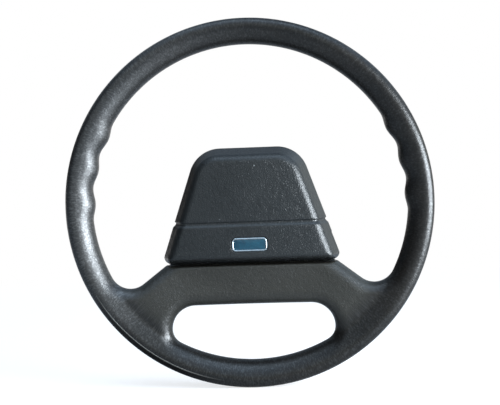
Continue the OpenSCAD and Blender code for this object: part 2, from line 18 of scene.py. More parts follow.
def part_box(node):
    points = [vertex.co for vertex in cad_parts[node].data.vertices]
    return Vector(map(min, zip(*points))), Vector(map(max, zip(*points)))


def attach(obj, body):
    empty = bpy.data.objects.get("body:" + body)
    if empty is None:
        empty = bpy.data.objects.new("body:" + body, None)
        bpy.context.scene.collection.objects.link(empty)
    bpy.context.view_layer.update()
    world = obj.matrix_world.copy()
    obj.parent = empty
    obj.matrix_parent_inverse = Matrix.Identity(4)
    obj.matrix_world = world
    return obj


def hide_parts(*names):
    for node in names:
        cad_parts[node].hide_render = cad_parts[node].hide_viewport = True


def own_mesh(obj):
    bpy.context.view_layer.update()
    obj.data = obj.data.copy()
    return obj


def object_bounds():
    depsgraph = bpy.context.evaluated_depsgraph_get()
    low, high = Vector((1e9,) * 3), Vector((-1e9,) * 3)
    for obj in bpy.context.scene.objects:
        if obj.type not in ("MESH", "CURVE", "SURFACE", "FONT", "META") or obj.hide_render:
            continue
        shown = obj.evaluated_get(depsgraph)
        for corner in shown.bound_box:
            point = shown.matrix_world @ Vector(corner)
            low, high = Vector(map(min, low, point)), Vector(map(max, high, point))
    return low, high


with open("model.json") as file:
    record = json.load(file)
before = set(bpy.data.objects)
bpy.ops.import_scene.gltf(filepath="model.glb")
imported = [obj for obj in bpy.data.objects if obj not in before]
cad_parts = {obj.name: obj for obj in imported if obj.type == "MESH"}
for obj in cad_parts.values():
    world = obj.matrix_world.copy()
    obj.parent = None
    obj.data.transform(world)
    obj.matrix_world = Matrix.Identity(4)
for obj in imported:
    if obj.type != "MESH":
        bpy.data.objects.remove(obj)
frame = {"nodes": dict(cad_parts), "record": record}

CAD_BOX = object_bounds()
LOG = logging.getLogger("steering_wheel")
MM = 0.001
WHEEL = "wheel"
HORN_PAD = "horn_pad"
MARGIN = 3 * MM
SHARP_ANGLE = math.radians(38)
Colour = tuple[float, float, float]
Span = tuple[float, float]
Material = bpy.types.Material
Mesh = bpy.types.Mesh
NodeTree = bpy.types.NodeTree
Piece = bpy.types.Object


def step(operation: str, swapped: bool = False) -> Callable[..., "Term"]:
    """Makes one operator of a term.

    Args:
        operation: what its arithmetic node does.
        swapped: whether the term is the node's last value.

    Returns:
        The operator.
    """
    def apply(self: "Term", *others: "Value") -> "Term":
        """Adds the node."""
        values = (*others, self) if swapped else (self, *others)
        return self.writer.math(operation, *values)

    return apply


class Term:
    """One socket of a node tree, which takes part in formulas as a number does."""

    __add__ = step("ADD")
    __radd__ = step("ADD", swapped=True)
    __sub__ = step("SUBTRACT")
    __rsub__ = step("SUBTRACT", swapped=True)
    __mul__ = step("MULTIPLY")
    __rmul__ = step("MULTIPLY")
    __truediv__ = step("DIVIDE")
    most = step("MAXIMUM")
    least = step("MINIMUM")
    root = step("SQRT")
    size = step("ABSOLUTE")
    cosine = step("COSINE")
    sine = step("SINE")

    def __init__(self, writer: "TreeWriter", socket: bpy.types.NodeSocket) -> None:
        """Keeps the socket and the tree that it belongs to."""
        self.writer = writer
        self.socket = socket

    def __neg__(self) -> "Term":
        """Opposite."""
        return self * -1.0

    def ramp(self, low: "Value", high: "Value", start: "Value" = 0.0, end: "Value" = 1.0) -> "Term":
        """Smooth step.

        Args:
            low: value at which the step starts.
            high: value at which it ends.
            start: result below the step.
            end: result above it.

        Returns:
            The stepped value.
        """
        made = self.writer.node("ShaderNodeMapRange", {0: self, 1: low, 2: high, 3: start, 4: end},
                                interpolation_type="SMOOTHSTEP")
        return Term(self.writer, made.outputs[0])

    def band(self, *edges: float) -> "Term":
        """1 between the middle two of four angles in degrees, fading to 0 at the outer two."""
        start, full, fading, end = (math.radians(edge) for edge in edges)
        return self.ramp(start, full) * self.ramp(fading, end, 1.0, 0.0)


Value = Term | float


class TreeWriter:
    """Writes one node tree, of geometry or of shaders."""

    def __init__(self, tree: NodeTree) -> None:
        """Starts on a tree that may already hold nodes."""
        self.tree = tree

    def node(self, kind: str, inputs: dict | None = None, **settings) -> bpy.types.Node:
        """Adds a node.

        Args:
            kind: the node's type name.
            inputs: socket name or number to the value or term that feeds it.
            **settings: the node's own properties.

        Returns:
            The node.
        """
        made = self.tree.nodes.new(kind)
        for name, value in settings.items():
            setattr(made, name, value)
        for name, value in (inputs or {}).items():
            self.feed(made.inputs[name], value)
        return made

    def feed(self, socket: bpy.types.NodeSocket, value) -> None:
        """Links a term to a socket, or sets a plain value on it."""
        if isinstance(value, Term):
            self.tree.links.new(value.socket, socket)
        else:
            socket.default_value = value

    def term(self, kind: str, inputs: dict | None = None, output: str | int = 0, **settings) -> Term:
        """Adds a node and returns one of its outputs.

        Args:
            kind: the node's type name.
            inputs: as in node().
            output: name or number of the output.
            **settings: the node's own properties.

        Returns:
            The output as a term.
        """
        return Term(self, self.node(kind, inputs, **settings).outputs[output])

    def math(self, operation: str, *values: Value) -> Term:
        """One arithmetic step on up to three values."""
        return self.term("ShaderNodeMath", dict(enumerate(values)), operation=operation)

    def length(self, *parts: Term) -> Term:
        """Length of a vector given by its parts."""
        total = parts[0] * parts[0]
        for part in parts[1:]:
            total = total + part * part
        return total.root()

    def split(self, vector: Term) -> tuple[Term, Term, Term]:
        """The three parts of a vector."""
        x, y, z = (Term(self, part) for part in self.node("ShaderNodeSeparateXYZ", {0: vector}).outputs)
        return x, y, z

    def vector(self, x: Value, y: Value, z: Value) -> Term:
        """A vector from its three parts."""
        return self.term("ShaderNodeCombineXYZ", {0: x, 1: y, 2: z})

    def blend(self, share: Value, first: "Term | Colour", second: "Term | Colour") -> Term:
        """Colour between two colours.

        Args:
            share: share of the second colour.
            first: colour at share 0.
            second: colour at share 1.

        Returns:
            The mixed colour.
        """
        made = self.node("ShaderNodeMix", {0: share}, data_type="RGBA")
        for number, colour in ((6, first), (7, second)):
            self.feed(made.inputs[number], (*colour, 1.0) if isinstance(colour, tuple) else colour)
        return Term(self, made.outputs[2])

    def rays(self, *kinds: str) -> Term:
        """Share of the light paths that are of any of these kinds."""
        found = self.term("ShaderNodeLightPath", {}, f"Is {kinds[0]} Ray")
        return found.most(self.rays(*kinds[1:])) if kinds[1:] else found


class Rule(TreeWriter):
    """A node group with named inputs."""

    KINDS = {float: "NodeSocketFloat", int: "NodeSocketInt", Vector: "NodeSocketVector",
             Piece: "NodeSocketObject", Material: "NodeSocketMaterial",
             Mesh: "NodeSocketGeometry"}

    def sockets(self, in_out: str, kinds: dict[str, type]) -> None:
        """Adds sockets to the group's inputs or outputs."""
        for label, kind in kinds.items():
            self.tree.interface.new_socket(label, in_out=in_out, socket_type=self.KINDS[kind])

    def open(self, inputs: dict[str, type]) -> None:
        """Adds the inputs and the node that gives them."""
        self.sockets("INPUT", inputs)
        self.entry = self.tree.nodes.new("NodeGroupInput")

    def given(self, name: str) -> Term:
        """One of the group's inputs."""
        return Term(self, self.entry.outputs[name])


class GeometryRule(Rule):
    """A Geometry Nodes tree with named inputs."""

    def __init__(self, name: str, inputs: dict[str, type]) -> None:
        """Makes the tree.

        Args:
            name: the tree's name.
            inputs: name of each size to its type.
        """
        super().__init__(bpy.data.node_groups.new(name, "GeometryNodeTree"))
        self.tree.is_modifier = True
        self.sockets("OUTPUT", {"Geometry": Mesh})
        self.open({"Geometry": Mesh, **inputs, "Finish": Material})

    def close(self, geometry: Term) -> None:
        """Ends the tree: smooth shading, real meshes and the finish."""
        smooth = self.term("GeometryNodeSetShadeSmooth", {"Geometry": geometry})
        real = self.term("GeometryNodeRealizeInstances", {"Geometry": smooth})
        dressed = self.term("GeometryNodeSetMaterial", {"Geometry": real, "Material": self.given("Finish")})
        self.tree.links.new(dressed.socket, self.tree.nodes.new("NodeGroupOutput").inputs[0])

    def grow(self, name: str, seed: Mesh, sizes: dict,
             finish: Material) -> Piece:
        """Runs the tree on a mesh.

        Args:
            name: name of the new piece.
            seed: mesh that the tree starts from.
            sizes: value of each named input.
            finish: material of the result.

        Returns:
            A piece with a plain mesh and no modifier.
        """
        source = new_piece(f"{name}_seed", seed)
        modifier = source.modifiers.new("rule", "NODES")
        modifier.node_group = self.tree
        values = dict(sizes, Finish=finish)
        for item in self.tree.interface.items_tree:
            if item.in_out == "INPUT" and item.name in values:
                modifier[item.identifier] = values[item.name]
        bpy.context.view_layer.update()
        mesh = baked(source)
        bpy.data.objects.remove(source)
        mesh.name = name
        return new_piece(name, mesh)


def new_piece(name: str, data: bpy.types.ID) -> Piece:
    """Puts a mesh, lamp or camera into the scene under that name."""
    piece = bpy.data.objects.new(name, data)
    bpy.context.scene.collection.objects.link(piece)
    return piece


def baked(piece: Piece) -> Mesh:
    """A plain mesh of a piece as its modifiers leave it."""
    graph = bpy.context.evaluated_depsgraph_get()
    return bpy.data.meshes.new_from_object(piece.evaluated_get(graph), depsgraph=graph)


def mesh_of(name: str, points: Sequence, faces: Sequence) -> Mesh:
    """A mesh from its points, in metres, and its faces."""
    mesh = bpy.data.meshes.new(name)
    mesh.from_pydata([tuple(p) for p in points], [], [tuple(f) for f in faces])
    mesh.update()
    return mesh


@dataclass(frozen=True)
class Corner:
    """A rounded corner between two straight edges, as a rule on the depths behind the two edges."""

    radius: float
    cosine: float

    def depth(self, rule: TreeWriter, first: Term, second: Term) -> Term:
        """Depth inside the rounded corner.

        Args:
            rule: the tree being written.
            first: depth behind the first edge.
            second: depth behind the second edge.

        Returns:
            Depth behind the two edges and the arc that joins them.
        """
        p = self.radius - first
        q = self.radius - second
        nearest = p.most(q)
        p_arc = p.most(q.most(0.0) * self.cosine)
        q_arc = q.most(p.most(0.0) * self.cosine)
        squares = p_arc * p_arc + q_arc * q_arc - p_arc * q_arc * (2 * self.cosine)
        arc = squares.most(0.0).root() * (1 / math.sqrt(1 - self.cosine ** 2))
        outside = rule.math("GREATER_THAN", nearest, 0.0)
        return self.radius - (outside * arc + (1.0 - outside) * nearest)


@dataclass(frozen=True)
class BadgePlan:
    """Sizes of the plain plate on the pad."""

    half_width: float = 18 * MM
    half_height: float = 7 * MM
    corner: float = 4 * MM
    down: float = 41.5 * MM
    back: float = 71.22 * MM
    top: float = 73.5 * MM
    band: float = 1.8 * MM
    inlay_back: float = 72.52 * MM
    inlay_edge: float = 73.0 * MM
    inlay_top: float = 73.4 * MM
    peg_x: float = 11 * MM
    peg_radius: float = 1.5 * MM
    peg_back: float = 64 * MM


@dataclass(frozen=True)
class PadPlan:
    """Sizes of the horn pad."""

    top: float = 57.6 * MM
    bottom: float = 62.6 * MM
    top_half: float = 53 * MM
    lean: float = math.radians(19.3)
    upper_radius: float = 33 * MM
    lower_radius: float = 10 * MM
    lower_share: float = 0.75
    draft: float = math.radians(19)
    hem: float = 41 * MM
    hem_step: float = 48 * MM
    step_line: float = -33 * MM
    face: float = 72 * MM
    crown: float = 1 * MM
    edge_radius: float = 9 * MM
    wall: float = 3 * MM
    groove_top: float = -17.6 * MM
    groove_bottom: float = -23.4 * MM
    groove_depth: float = 1.8 * MM
    groove_sharp: float = 0.5 * MM
    groove_soft: float = 3.6 * MM
    crown_inset: float = 5 * MM
    boss_radius: float = 4.5 * MM
    boss_back: float = 55 * MM
    boss_front: float = 70.5 * MM
    boss_bore: float = 1.7 * MM
    bore_depth: float = 10 * MM
    boss_inset: float = 18 * MM
    boss_upper: float = 36 * MM
    boss_lower: float = -44 * MM
    badge: BadgePlan = BadgePlan()
    badge_seat: float = 71.2 * MM
    badge_gap: float = 0.2 * MM

    @property
    def side_reach(self) -> float:
        """Distance of the leaning side line from the wheel axis."""
        return self.top_half * math.cos(self.lean) + self.top * math.sin(self.lean)

    def side_x(self, reach: float, up: float) -> float:
        """Half width at a height up the wheel, for a side line at that reach."""
        return (reach - math.sin(self.lean) * up) / math.cos(self.lean)

    def boss_places(self) -> list[tuple[float, float]]:
        """Places of the four screw bosses."""
        reach = self.side_reach - self.boss_inset
        return [(side * self.side_x(reach, up), up)
                for up in (self.boss_upper, self.boss_lower) for side in (-1, 1)]

    def inset(self, rule: TreeWriter, across: Term, up: Term) -> Term:
        """How far a point lies inside the pad's outline at its base.

        Args:
            rule: the tree being written.
            across: distance from the middle plane.
            up: height up the wheel.

        Returns:
            The inset, negative outside the outline.
        """
        side = self.side_reach - across * math.cos(self.lean) - up * math.sin(self.lean)
        low = (up + self.bottom) * (1 / self.lower_share)
        upper = Corner(self.upper_radius, math.sin(self.lean)).depth(rule, side, self.top - up)
        lower = Corner(self.lower_radius, -math.sin(self.lean)).depth(rule, side, low)
        return upper.least(lower)


@dataclass(frozen=True)
class RimPlan:
    """Sizes of the moulding over rim, spokes and lower bar."""

    radius: float = 190 * MM
    section: float = 13.3 * MM
    half: float = 11.8 * MM
    lean: float = 0.4
    plane: float = 62 * MM
    dish: float = 15 * MM
    dish_width: float = 80 * MM
    bar_half: float = 12.5 * MM
    bar_blend: float = 20 * MM
    swell_count: int = 3
    swell_height: float = 3.2 * MM
    swell_pitch: float = math.radians(12.4)
    swell_first: float = math.radians(1.5)
    spoke_slope: float = 37
    spoke_line: float = -3.9 * MM
    notch_radius: float = 21.5 * MM
    tongue_top: float = -36 * MM
    tongue_radius: float = 22 * MM
    window_rim: float = 27.6 * MM
    window_height: float = 57 * MM
    window_end: float = 33.1 * MM
    window_upper_radius: float = 24 * MM
    window_lower_radius: float = 16 * MM
    pocket_floor: float = 44.8 * MM
    pocket_gap: float = 1.5 * MM
    pocket_edge: float = 1.6 * MM
    steel_gap: float = 0.2 * MM
    parting_step: float = 0.45 * MM

    @property
    def core(self) -> float:
        """Radius of the ring through the middle of the grip section."""
        return self.radius - self.section

    @property
    def opening(self) -> float:
        """Inner radius of the rim away from the swells."""
        return self.radius - 2 * self.section

    def sizes(self) -> dict[str, float]:
        """Values of the rule's named inputs."""
        return {"Rim Radius": self.radius, "Section Radius": self.section, "Section Half": self.half,
                "Section Lean": self.lean, "Rim Plane": self.plane,
                "Dish Depth": self.dish, "Dish Width": self.dish_width, "Bar Half": self.bar_half,
                "Bar Blend": self.bar_blend, "Swell Count": self.swell_count,
                "Swell Height": self.swell_height, "Swell Pitch": self.swell_pitch,
                "First Swell": self.swell_first,
                "Pocket Floor": self.pocket_floor, "Pocket Gap": self.pocket_gap,
                "Pocket Edge": self.pocket_edge, "Parting Step": self.parting_step}


class Outline:
    """Closed line in the wheel's plane, made of arcs and corners, and mirrored about the middle."""

    STEP = 2.0

    def __init__(self, start: tuple[float, float]) -> None:
        """Starts on the middle line."""
        self.half: list[tuple[float, float]] = [start]

    def arc(self, centre: tuple[float, float], radius: float, first: float, last: float) -> "Outline":
        """Adds an arc.

        Args:
            centre: its centre.
            radius: its radius.
            first: angle in degrees at which it starts.
            last: angle in degrees at which it ends.

        Returns:
            The outline itself.
        """
        steps = max(2, math.ceil(abs(last - first) / self.STEP))
        for i in range(steps + 1):
            a = math.radians(first + (last - first) * i / steps)
            self.half.append((centre[0] + radius * math.cos(a), centre[1] + radius * math.sin(a)))
        return self

    def points(self) -> list[tuple[float, float]]:
        """All points, with those of the mirrored half."""
        return self.half + [(-x, y) for x, y in reversed(self.half) if x > 1e-6]


@dataclass(frozen=True)
class RimSkin:
    """The one-piece moulding over rim, spokes and lower bar, with room for the pad."""

    plan: RimPlan
    pad: PadPlan

    VOXEL = 1.4 * MM
    PARTING_TUBE = (39, 43, 55, 85)
    PARTING_WHEEL = (-142, -134, -100, -90)

    def upper_opening(self) -> Outline:
        """Outline of the large opening, without the finger swells."""
        p = self.plan
        slope = math.radians(p.spoke_slope)
        normal = (math.cos(-math.pi / 2 - slope), math.sin(-math.pi / 2 - slope))
        run = (math.cos(-slope), math.sin(-slope))
        depth = p.spoke_line - p.notch_radius
        out = math.sqrt((p.opening - p.notch_radius) ** 2 - depth ** 2)
        notch = (out * run[0] + depth * normal[0], out * run[1] + depth * normal[1])
        notch_end = math.degrees(math.atan2(notch[1], notch[0]))
        bend_y = p.tongue_top - p.tongue_radius
        bend_x = (p.spoke_line + p.tongue_radius - normal[1] * bend_y) / normal[0]
        made = Outline((0, p.tongue_top))
        made.arc((bend_x, bend_y), p.tongue_radius, 90, 90 - p.spoke_slope)
        made.arc(notch, p.notch_radius, -90 - p.spoke_slope, notch_end)
        return made.arc((0, 0), p.opening, notch_end, 90)

    def window(self) -> Outline:
        """Outline of the window under the bar."""
        p = self.plan
        rim_r = p.radius - p.window_rim
        top = rim_r - p.window_height
        half = math.sqrt(rim_r ** 2 - (top + p.window_end) ** 2)
        low_x = half - p.window_lower_radius
        low_y = -math.sqrt((rim_r - p.window_lower_radius) ** 2 - low_x ** 2)
        turn = math.degrees(math.atan2(low_y, low_x))
        made = Outline((0, -rim_r)).arc((0, 0), rim_r, -90, turn)
        made.arc((low_x, low_y), p.window_lower_radius, turn, 0)
        upper = (half - p.window_upper_radius, -top - p.window_upper_radius)
        made.arc(upper, p.window_upper_radius, 6, 90)
        made.half.append((0, -top))
        return made

    def openings_mesh(self) -> Mesh:
        """Both openings as flat faces, which the rule measures from."""
        points, faces = [], []
        for outline in (self.upper_opening(), self.window()):
            ring = outline.points()
            faces.append(range(len(points), len(points) + len(ring)))
            points += [(x, 0, y) for x, y in ring]
        return mesh_of("openings", points, faces)

    def rule(self) -> GeometryRule:
        """The tree that gives the moulding its form.

        Returns:
            A rule whose input geometry is the outlines of the two openings.
        """
        kinds = {name: int if name == "Swell Count" else float for name in self.plan.sizes()}
        rule = GeometryRule("moulded_rim", kinds)
        given = rule.given
        section, plane = given("Section Radius"), given("Rim Plane")
        x, y, z = rule.split(rule.term("GeometryNodeInputPosition"))
        across = x.size()
        rho = rule.length(x, z)
        opening = given("Rim Radius") - section * 2.0
        core = given("Rim Radius") - section
        share = ((opening - rho) / given("Dish Width")).most(0.0).least(1.0)
        leaned = given("Section Lean") * (rho.most(opening) - core)
        drop = given("Dish Depth") - given("Section Lean") * section
        middle = plane + leaned - drop * (1.0 - (share * math.pi).cosine()) * 0.5
        thin = ((core - rho) / given("Bar Blend")).most(0.0).least(1.0)
        half = given("Section Half") + (given("Bar Half") - given("Section Half")) * thin
        height = (-y - middle) * section / half

        flat = rule.vector(x, 0.0, z)
        edge = rule.term("GeometryNodeProximity", {"Geometry": given("Geometry"), "Sample Position": flat},
                         "Distance", target_element="EDGES")
        above = rule.vector(x, 1.0, z)
        inside = rule.term("GeometryNodeRaycast", {
            "Target Geometry": given("Geometry"), "Source Position": above,
            "Ray Direction": (0, -1, 0), "Ray Length": 2.0}, "Is Hit")
        depth = edge * (1.0 - inside * 2.0)

        angle = rule.math("ARCTAN2", z, across)
        turns = (angle - given("First Swell")) / given("Swell Pitch")
        in_swells = (rule.math("GREATER_THAN", turns, -0.5)
                     * rule.math("LESS_THAN", turns, given("Swell Count") - 0.5))
        swell = given("Swell Height") * (1.0 + (turns * math.tau).cosine()) * 0.5 * in_swells
        edge_in = section - depth - swell
        beyond = edge_in.most(rho - core).most(0.0)
        skin = rule.length(beyond, height) - section

        tube = rule.math("ARCTAN2", height, rho - core)
        line = tube.band(*self.PARTING_TUBE)
        stretch = rule.math("ARCTAN2", z, x).band(*self.PARTING_WHEEL)
        skin = skin + given("Parting Step") * line * stretch

        room = (self.pad.inset(rule, across, z) + given("Pocket Gap")).least(-y - given("Pocket Floor"))
        self.fill(rule, rule.math("SMOOTH_MAX", skin, room, given("Pocket Edge")))
        return rule

    def fill(self, rule: GeometryRule, body: Term) -> None:
        """Turns the distance to the skin into a mesh and ends the tree."""
        p = self.plan
        low = Vector((-p.radius, -p.plane - p.section, -p.radius))
        high = Vector((p.radius, p.section + p.dish - p.plane, p.radius))
        mesh_from_distance(rule, body, low, high, self.VOXEL, smoothing=2)

    def build(self, finish: Material) -> Piece:
        """Builds the skin and hides the plain one.

        Args:
            finish: the grained skin's material.

        Returns:
            The finished piece.
        """
        skin = self.rule().grow("rim_skin", self.openings_mesh(), self.plan.sizes(), finish)
        for node in ("rim_rod", "spoke_frame"):
            carve(skin, node, self.plan.steel_gap)
        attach(skin, WHEEL)
        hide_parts("rim_cover")
        return skin


def mesh_from_distance(rule: GeometryRule, body: Term, low: Vector, high: Vector, voxel: float,
                       smoothing: int) -> None:
    """Meshes the surface at which a distance is zero, with some room about it, and ends the tree.

    Args:
        rule: the tree being written.
        body: distance to the surface, negative inside.
        low: lowest corner of the shape.
        high: highest corner of the shape.
        voxel: edge of one cell.
        smoothing: passes of averaging over the finished mesh.
    """
    low, high = low - Vector((MARGIN,) * 3), high + Vector((MARGIN,) * 3)
    steps = [math.ceil((b - a) / voxel) + 1 for a, b in zip(low, high)]
    high = Vector([a + voxel * (n - 1) for a, n in zip(low, steps)])
    density = (0.5 - body * (0.25 / voxel)).most(0.0).least(1.0)
    cloud = rule.term("GeometryNodeVolumeCube", {
        "Density": density, "Min": low, "Max": high, "Resolution X": steps[0],
        "Resolution Y": steps[1], "Resolution Z": steps[2]})
    mesh = rule.term("GeometryNodeVolumeToMesh", {"Volume": cloud, "Threshold": 0.5})
    place = rule.term("GeometryNodeInputPosition")
    even = rule.term("GeometryNodeBlurAttribute", {"Value": place, "Iterations": smoothing},
                     data_type="FLOAT_VECTOR")
    rule.close(rule.term("GeometryNodeSetPosition", {"Geometry": mesh, "Position": even}))


def carve(piece: Piece, node: str, gap: float) -> None:
    """Cuts the room for a CAD node out of a piece.

    Args:
        piece: the piece that loses material.
        node: name of the node inside it.
        gap: clearance left all round.
    """
    tool = bmesh.new()
    tool.from_mesh(frame["nodes"][node].data)
    bmesh.ops.remove_doubles(tool, verts=tool.verts, dist=1e-6)
    tool.normal_update()
    for v in tool.verts:
        v.co += v.normal * gap
    mesh = bpy.data.meshes.new(f"{node}_room")
    tool.to_mesh(mesh)
    tool.free()
    cutter = new_piece(f"{node}_room", mesh)
    cut = piece.modifiers.new("room", "BOOLEAN")
    cut.operation = "DIFFERENCE"
    cut.solver = "MANIFOLD"
    cut.object = cutter
    done = baked(piece)
    piece.modifiers.clear()
    piece.data = done
    bpy.data.objects.remove(cutter)


@dataclass(frozen=True)
class PadSkin:
    """The grained cover of the horn pad, with the groove across it."""

    plan: PadPlan

    VOXEL = 0.8 * MM

    def sizes(self) -> dict[str, float]:
        """Values of the rule's named inputs."""
        p = self.plan
        return {"Face": p.face, "Crown": p.crown, "Wall": p.wall, "Hem": p.hem, "Hem Step": p.hem_step,
                "Groove Top": p.groove_top, "Groove Bottom": p.groove_bottom, "Groove Depth": p.groove_depth,
                "Badge Seat": p.badge_seat}

    def rule(self) -> GeometryRule:
        """The tree that gives the cover its form."""
        p = self.plan
        rule = GeometryRule("pad_cover_form", {name: float for name in self.sizes()})
        given = rule.given
        x, y, z = rule.split(rule.term("GeometryNodeInputPosition"))
        across, front = x.size(), -y
        inset = p.inset(rule, across, z)
        leaning = (inset - (front - given("Hem Step")) * math.tan(p.draft)) * math.cos(p.draft)
        wall = leaning.least(inset)
        face_reach = p.side_reach - p.edge_radius - p.crown_inset
        share_x = across / ((face_reach - z * math.sin(p.lean)) * (1 / math.cos(p.lean)))
        middle = (p.top - p.bottom) / 2
        share_z = (z - middle) * (2 / (p.top + p.bottom))
        crown = (given("Crown") * (1.0 - share_x * share_x).most(0.0)
                 * (1.0 - share_z * share_z).most(0.0))
        face = given("Face") + crown - front
        outer = -Corner(p.edge_radius, math.sin(p.draft)).depth(rule, wall, face)
        cut = (z.ramp(given("Groove Top"), given("Groove Top") - p.groove_sharp)
               * z.ramp(given("Groove Bottom"), given("Groove Bottom") + p.groove_soft))
        shell = (outer + given("Groove Depth") * cut).most(-(outer + given("Wall")))
        for side, up in p.boss_places():
            away = rule.length(x - side, z - up)
            boss = (away - p.boss_radius).most(p.boss_back - front).most(front - p.boss_front)
            bore = (p.boss_bore - away).least(p.boss_back + p.bore_depth - front)
            shell = shell.least(boss).most(bore)
        plate = p.badge
        badge_x = (across - (plate.half_width - plate.corner)).most(0.0)
        badge_z = ((z + plate.down).size() - (plate.half_height - plate.corner)).most(0.0)
        room = plate.corner + p.badge_gap - rule.length(badge_x, badge_z)
        seat = room.least(front - given("Badge Seat"))
        tongue = (p.step_line - z).least(given("Hem Step") - front)
        body = shell.most(seat).most(tongue).most(given("Hem") - front)
        half = p.side_x(p.side_reach, -p.bottom)
        low, high = Vector((-half, -plate.top, -p.bottom)), Vector((half, -p.hem, p.top))
        mesh_from_distance(rule, body, low, high, self.VOXEL, smoothing=1)
        return rule

    def build(self, finish: Material) -> Piece:
        """Builds the cover and hides the plain one."""
        cover = self.rule().grow("pad_skin", bpy.data.meshes.new("nothing"), self.sizes(), finish)
        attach(cover, HORN_PAD)
        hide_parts("pad_cover")
        return cover


@dataclass(frozen=True)
class Badge:
    """The plain rounded plate under the groove: a satin frame, its pegs and a domed inlay."""

    plan: BadgePlan

    STEPS = 10
    SLACK = 0.02 * MM
    FIT = 0.06 * MM
    PEG_LAP = 0.1 * MM
    DOME = (0.97, 0.93, 0.86, 0.76, 0.64, 0.5, 0.34, 0.16)

    def ring(self, offset: float, height: float, share: float = 1.0) -> list[tuple[float, float, float]]:
        """One outline of the plate.

        Args:
            offset: distance outside the frame's outline.
            height: height over the hub's rear face.
            share: scale about the plate's middle.

        Returns:
            Its points, in order.
        """
        p = self.plan
        radius = p.corner + offset
        points = []
        for quarter in range(4):
            sx = 1 if quarter in (0, 3) else -1
            sz = 1 if quarter in (0, 1) else -1
            for i in range(self.STEPS + 1):
                a = math.radians(90 * (quarter + i / self.STEPS))
                x = sx * (p.half_width - p.corner) + radius * math.cos(a)
                z = sz * (p.half_height - p.corner) + radius * math.sin(a)
                points.append((x * share, -height, z * share - p.down))
        return points

    def frame_mesh(self) -> Mesh:
        """The frame, rounded over on both sides of its band."""
        p = self.plan
        round_r = p.band / 2
        shoulder = p.top - round_r
        rings = [self.ring(0, p.back), self.ring(0, shoulder)]
        for i in range(1, self.STEPS):
            a = math.pi * i / self.STEPS
            rings.append(self.ring(-round_r + round_r * math.cos(a), shoulder + round_r * math.sin(a)))
        rings += [self.ring(-p.band, shoulder), self.ring(-p.band, p.inlay_back - self.SLACK)]
        return lofted("badge_frame", rings)

    def inlay_mesh(self) -> Mesh:
        """The inlay, with a soft edge and a low dome."""
        p = self.plan
        fit = -p.band - self.FIT
        rings = [self.ring(fit, p.inlay_back), self.ring(fit, p.inlay_edge)]
        for share in self.DOME:
            rise = (p.inlay_top - p.inlay_edge) * (1 - share ** 3)
            rings.append(self.ring(fit, p.inlay_edge + rise, share))
        return lofted("badge_inlay_plate", rings)

    def build(self, metal: Material, enamel: Material) -> list[Piece]:
        """Builds both pieces and hides the plain ones.

        Args:
            metal: finish of the frame.
            enamel: finish of the inlay.

        Returns:
            The frame and the inlay.
        """
        p = self.plan
        band = self.frame_mesh()
        pegs = [turned("peg", [(p.peg_radius, p.peg_back), (p.peg_radius, p.back + self.PEG_LAP)], 24,
                       (side * p.peg_x, -p.down)) for side in (-1, 1)]
        made = []
        for name, meshes, node, finish in (("badge_frame", [band, *pegs], "badge_bezel", metal),
                                           ("badge_plate", [self.inlay_mesh()], "badge_inlay", enamel)):
            piece = new_piece(name, joined(name, meshes))
            piece.data.materials.append(finish)
            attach(piece, HORN_PAD)
            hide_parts(node)
            made.append(piece)
        return made


def lofted(name: str, rings: Sequence[Sequence]) -> Mesh:
    """Skin over equal rings of points, closed at both ends."""
    count = len(rings[0])
    points = [p for ring in rings for p in ring]
    faces = [range(count), range(len(points) - count, len(points))]
    for j in range(len(rings) - 1):
        for i in range(count):
            a, b = j * count + i, j * count + (i + 1) % count
            faces.append((a, a + count, b + count, b))
    return outward(mesh_of(name, points, faces))


def outward(mesh: Mesh) -> Mesh:
    """Merges doubles, turns all faces outwards and shades them smooth up to a sharp edge."""
    work = bmesh.new()
    work.from_mesh(mesh)
    bmesh.ops.remove_doubles(work, verts=work.verts, dist=1e-7)
    bmesh.ops.recalc_face_normals(work, faces=work.faces)
    for edge in work.edges:
        edge.smooth = len(edge.link_faces) != 2 or edge.calc_face_angle(0) < SHARP_ANGLE
    for face in work.faces:
        face.smooth = True
    work.to_mesh(mesh)
    work.free()
    return mesh


def joined(name: str, meshes: Sequence[Mesh]) -> Mesh:
    """One mesh that holds all of the given ones."""
    work = bmesh.new()
    for mesh in meshes:
        work.from_mesh(mesh)
    made = bpy.data.meshes.new(name)
    work.to_mesh(made)
    work.free()
    return made


def turned(name: str, profile: Sequence[tuple], steps: int,
           place: tuple[float, float] = (0, 0)) -> Mesh:
    """A part turned about an axis that runs towards the driver.

    Args:
        name: name of the mesh.
        profile: radius and height of each row; a third value is the number of flats of that row.
        steps: points around.
        place: where the axis stands, across and up the wheel.

    Returns:
        The closed mesh.
    """
    rings = []
    for radius, height, *flats in profile:
        ring = []
        for i in range(steps):
            a = math.tau * i / steps
            r = radius
            if flats:
                part = math.tau / flats[0]
                r = radius * math.cos(part / 2) / math.cos((a % part) - part / 2)
            ring.append((place[0] + r * math.cos(a), -height, place[1] + r * math.sin(a)))
        rings.append(ring)
    return lofted(name, rings)


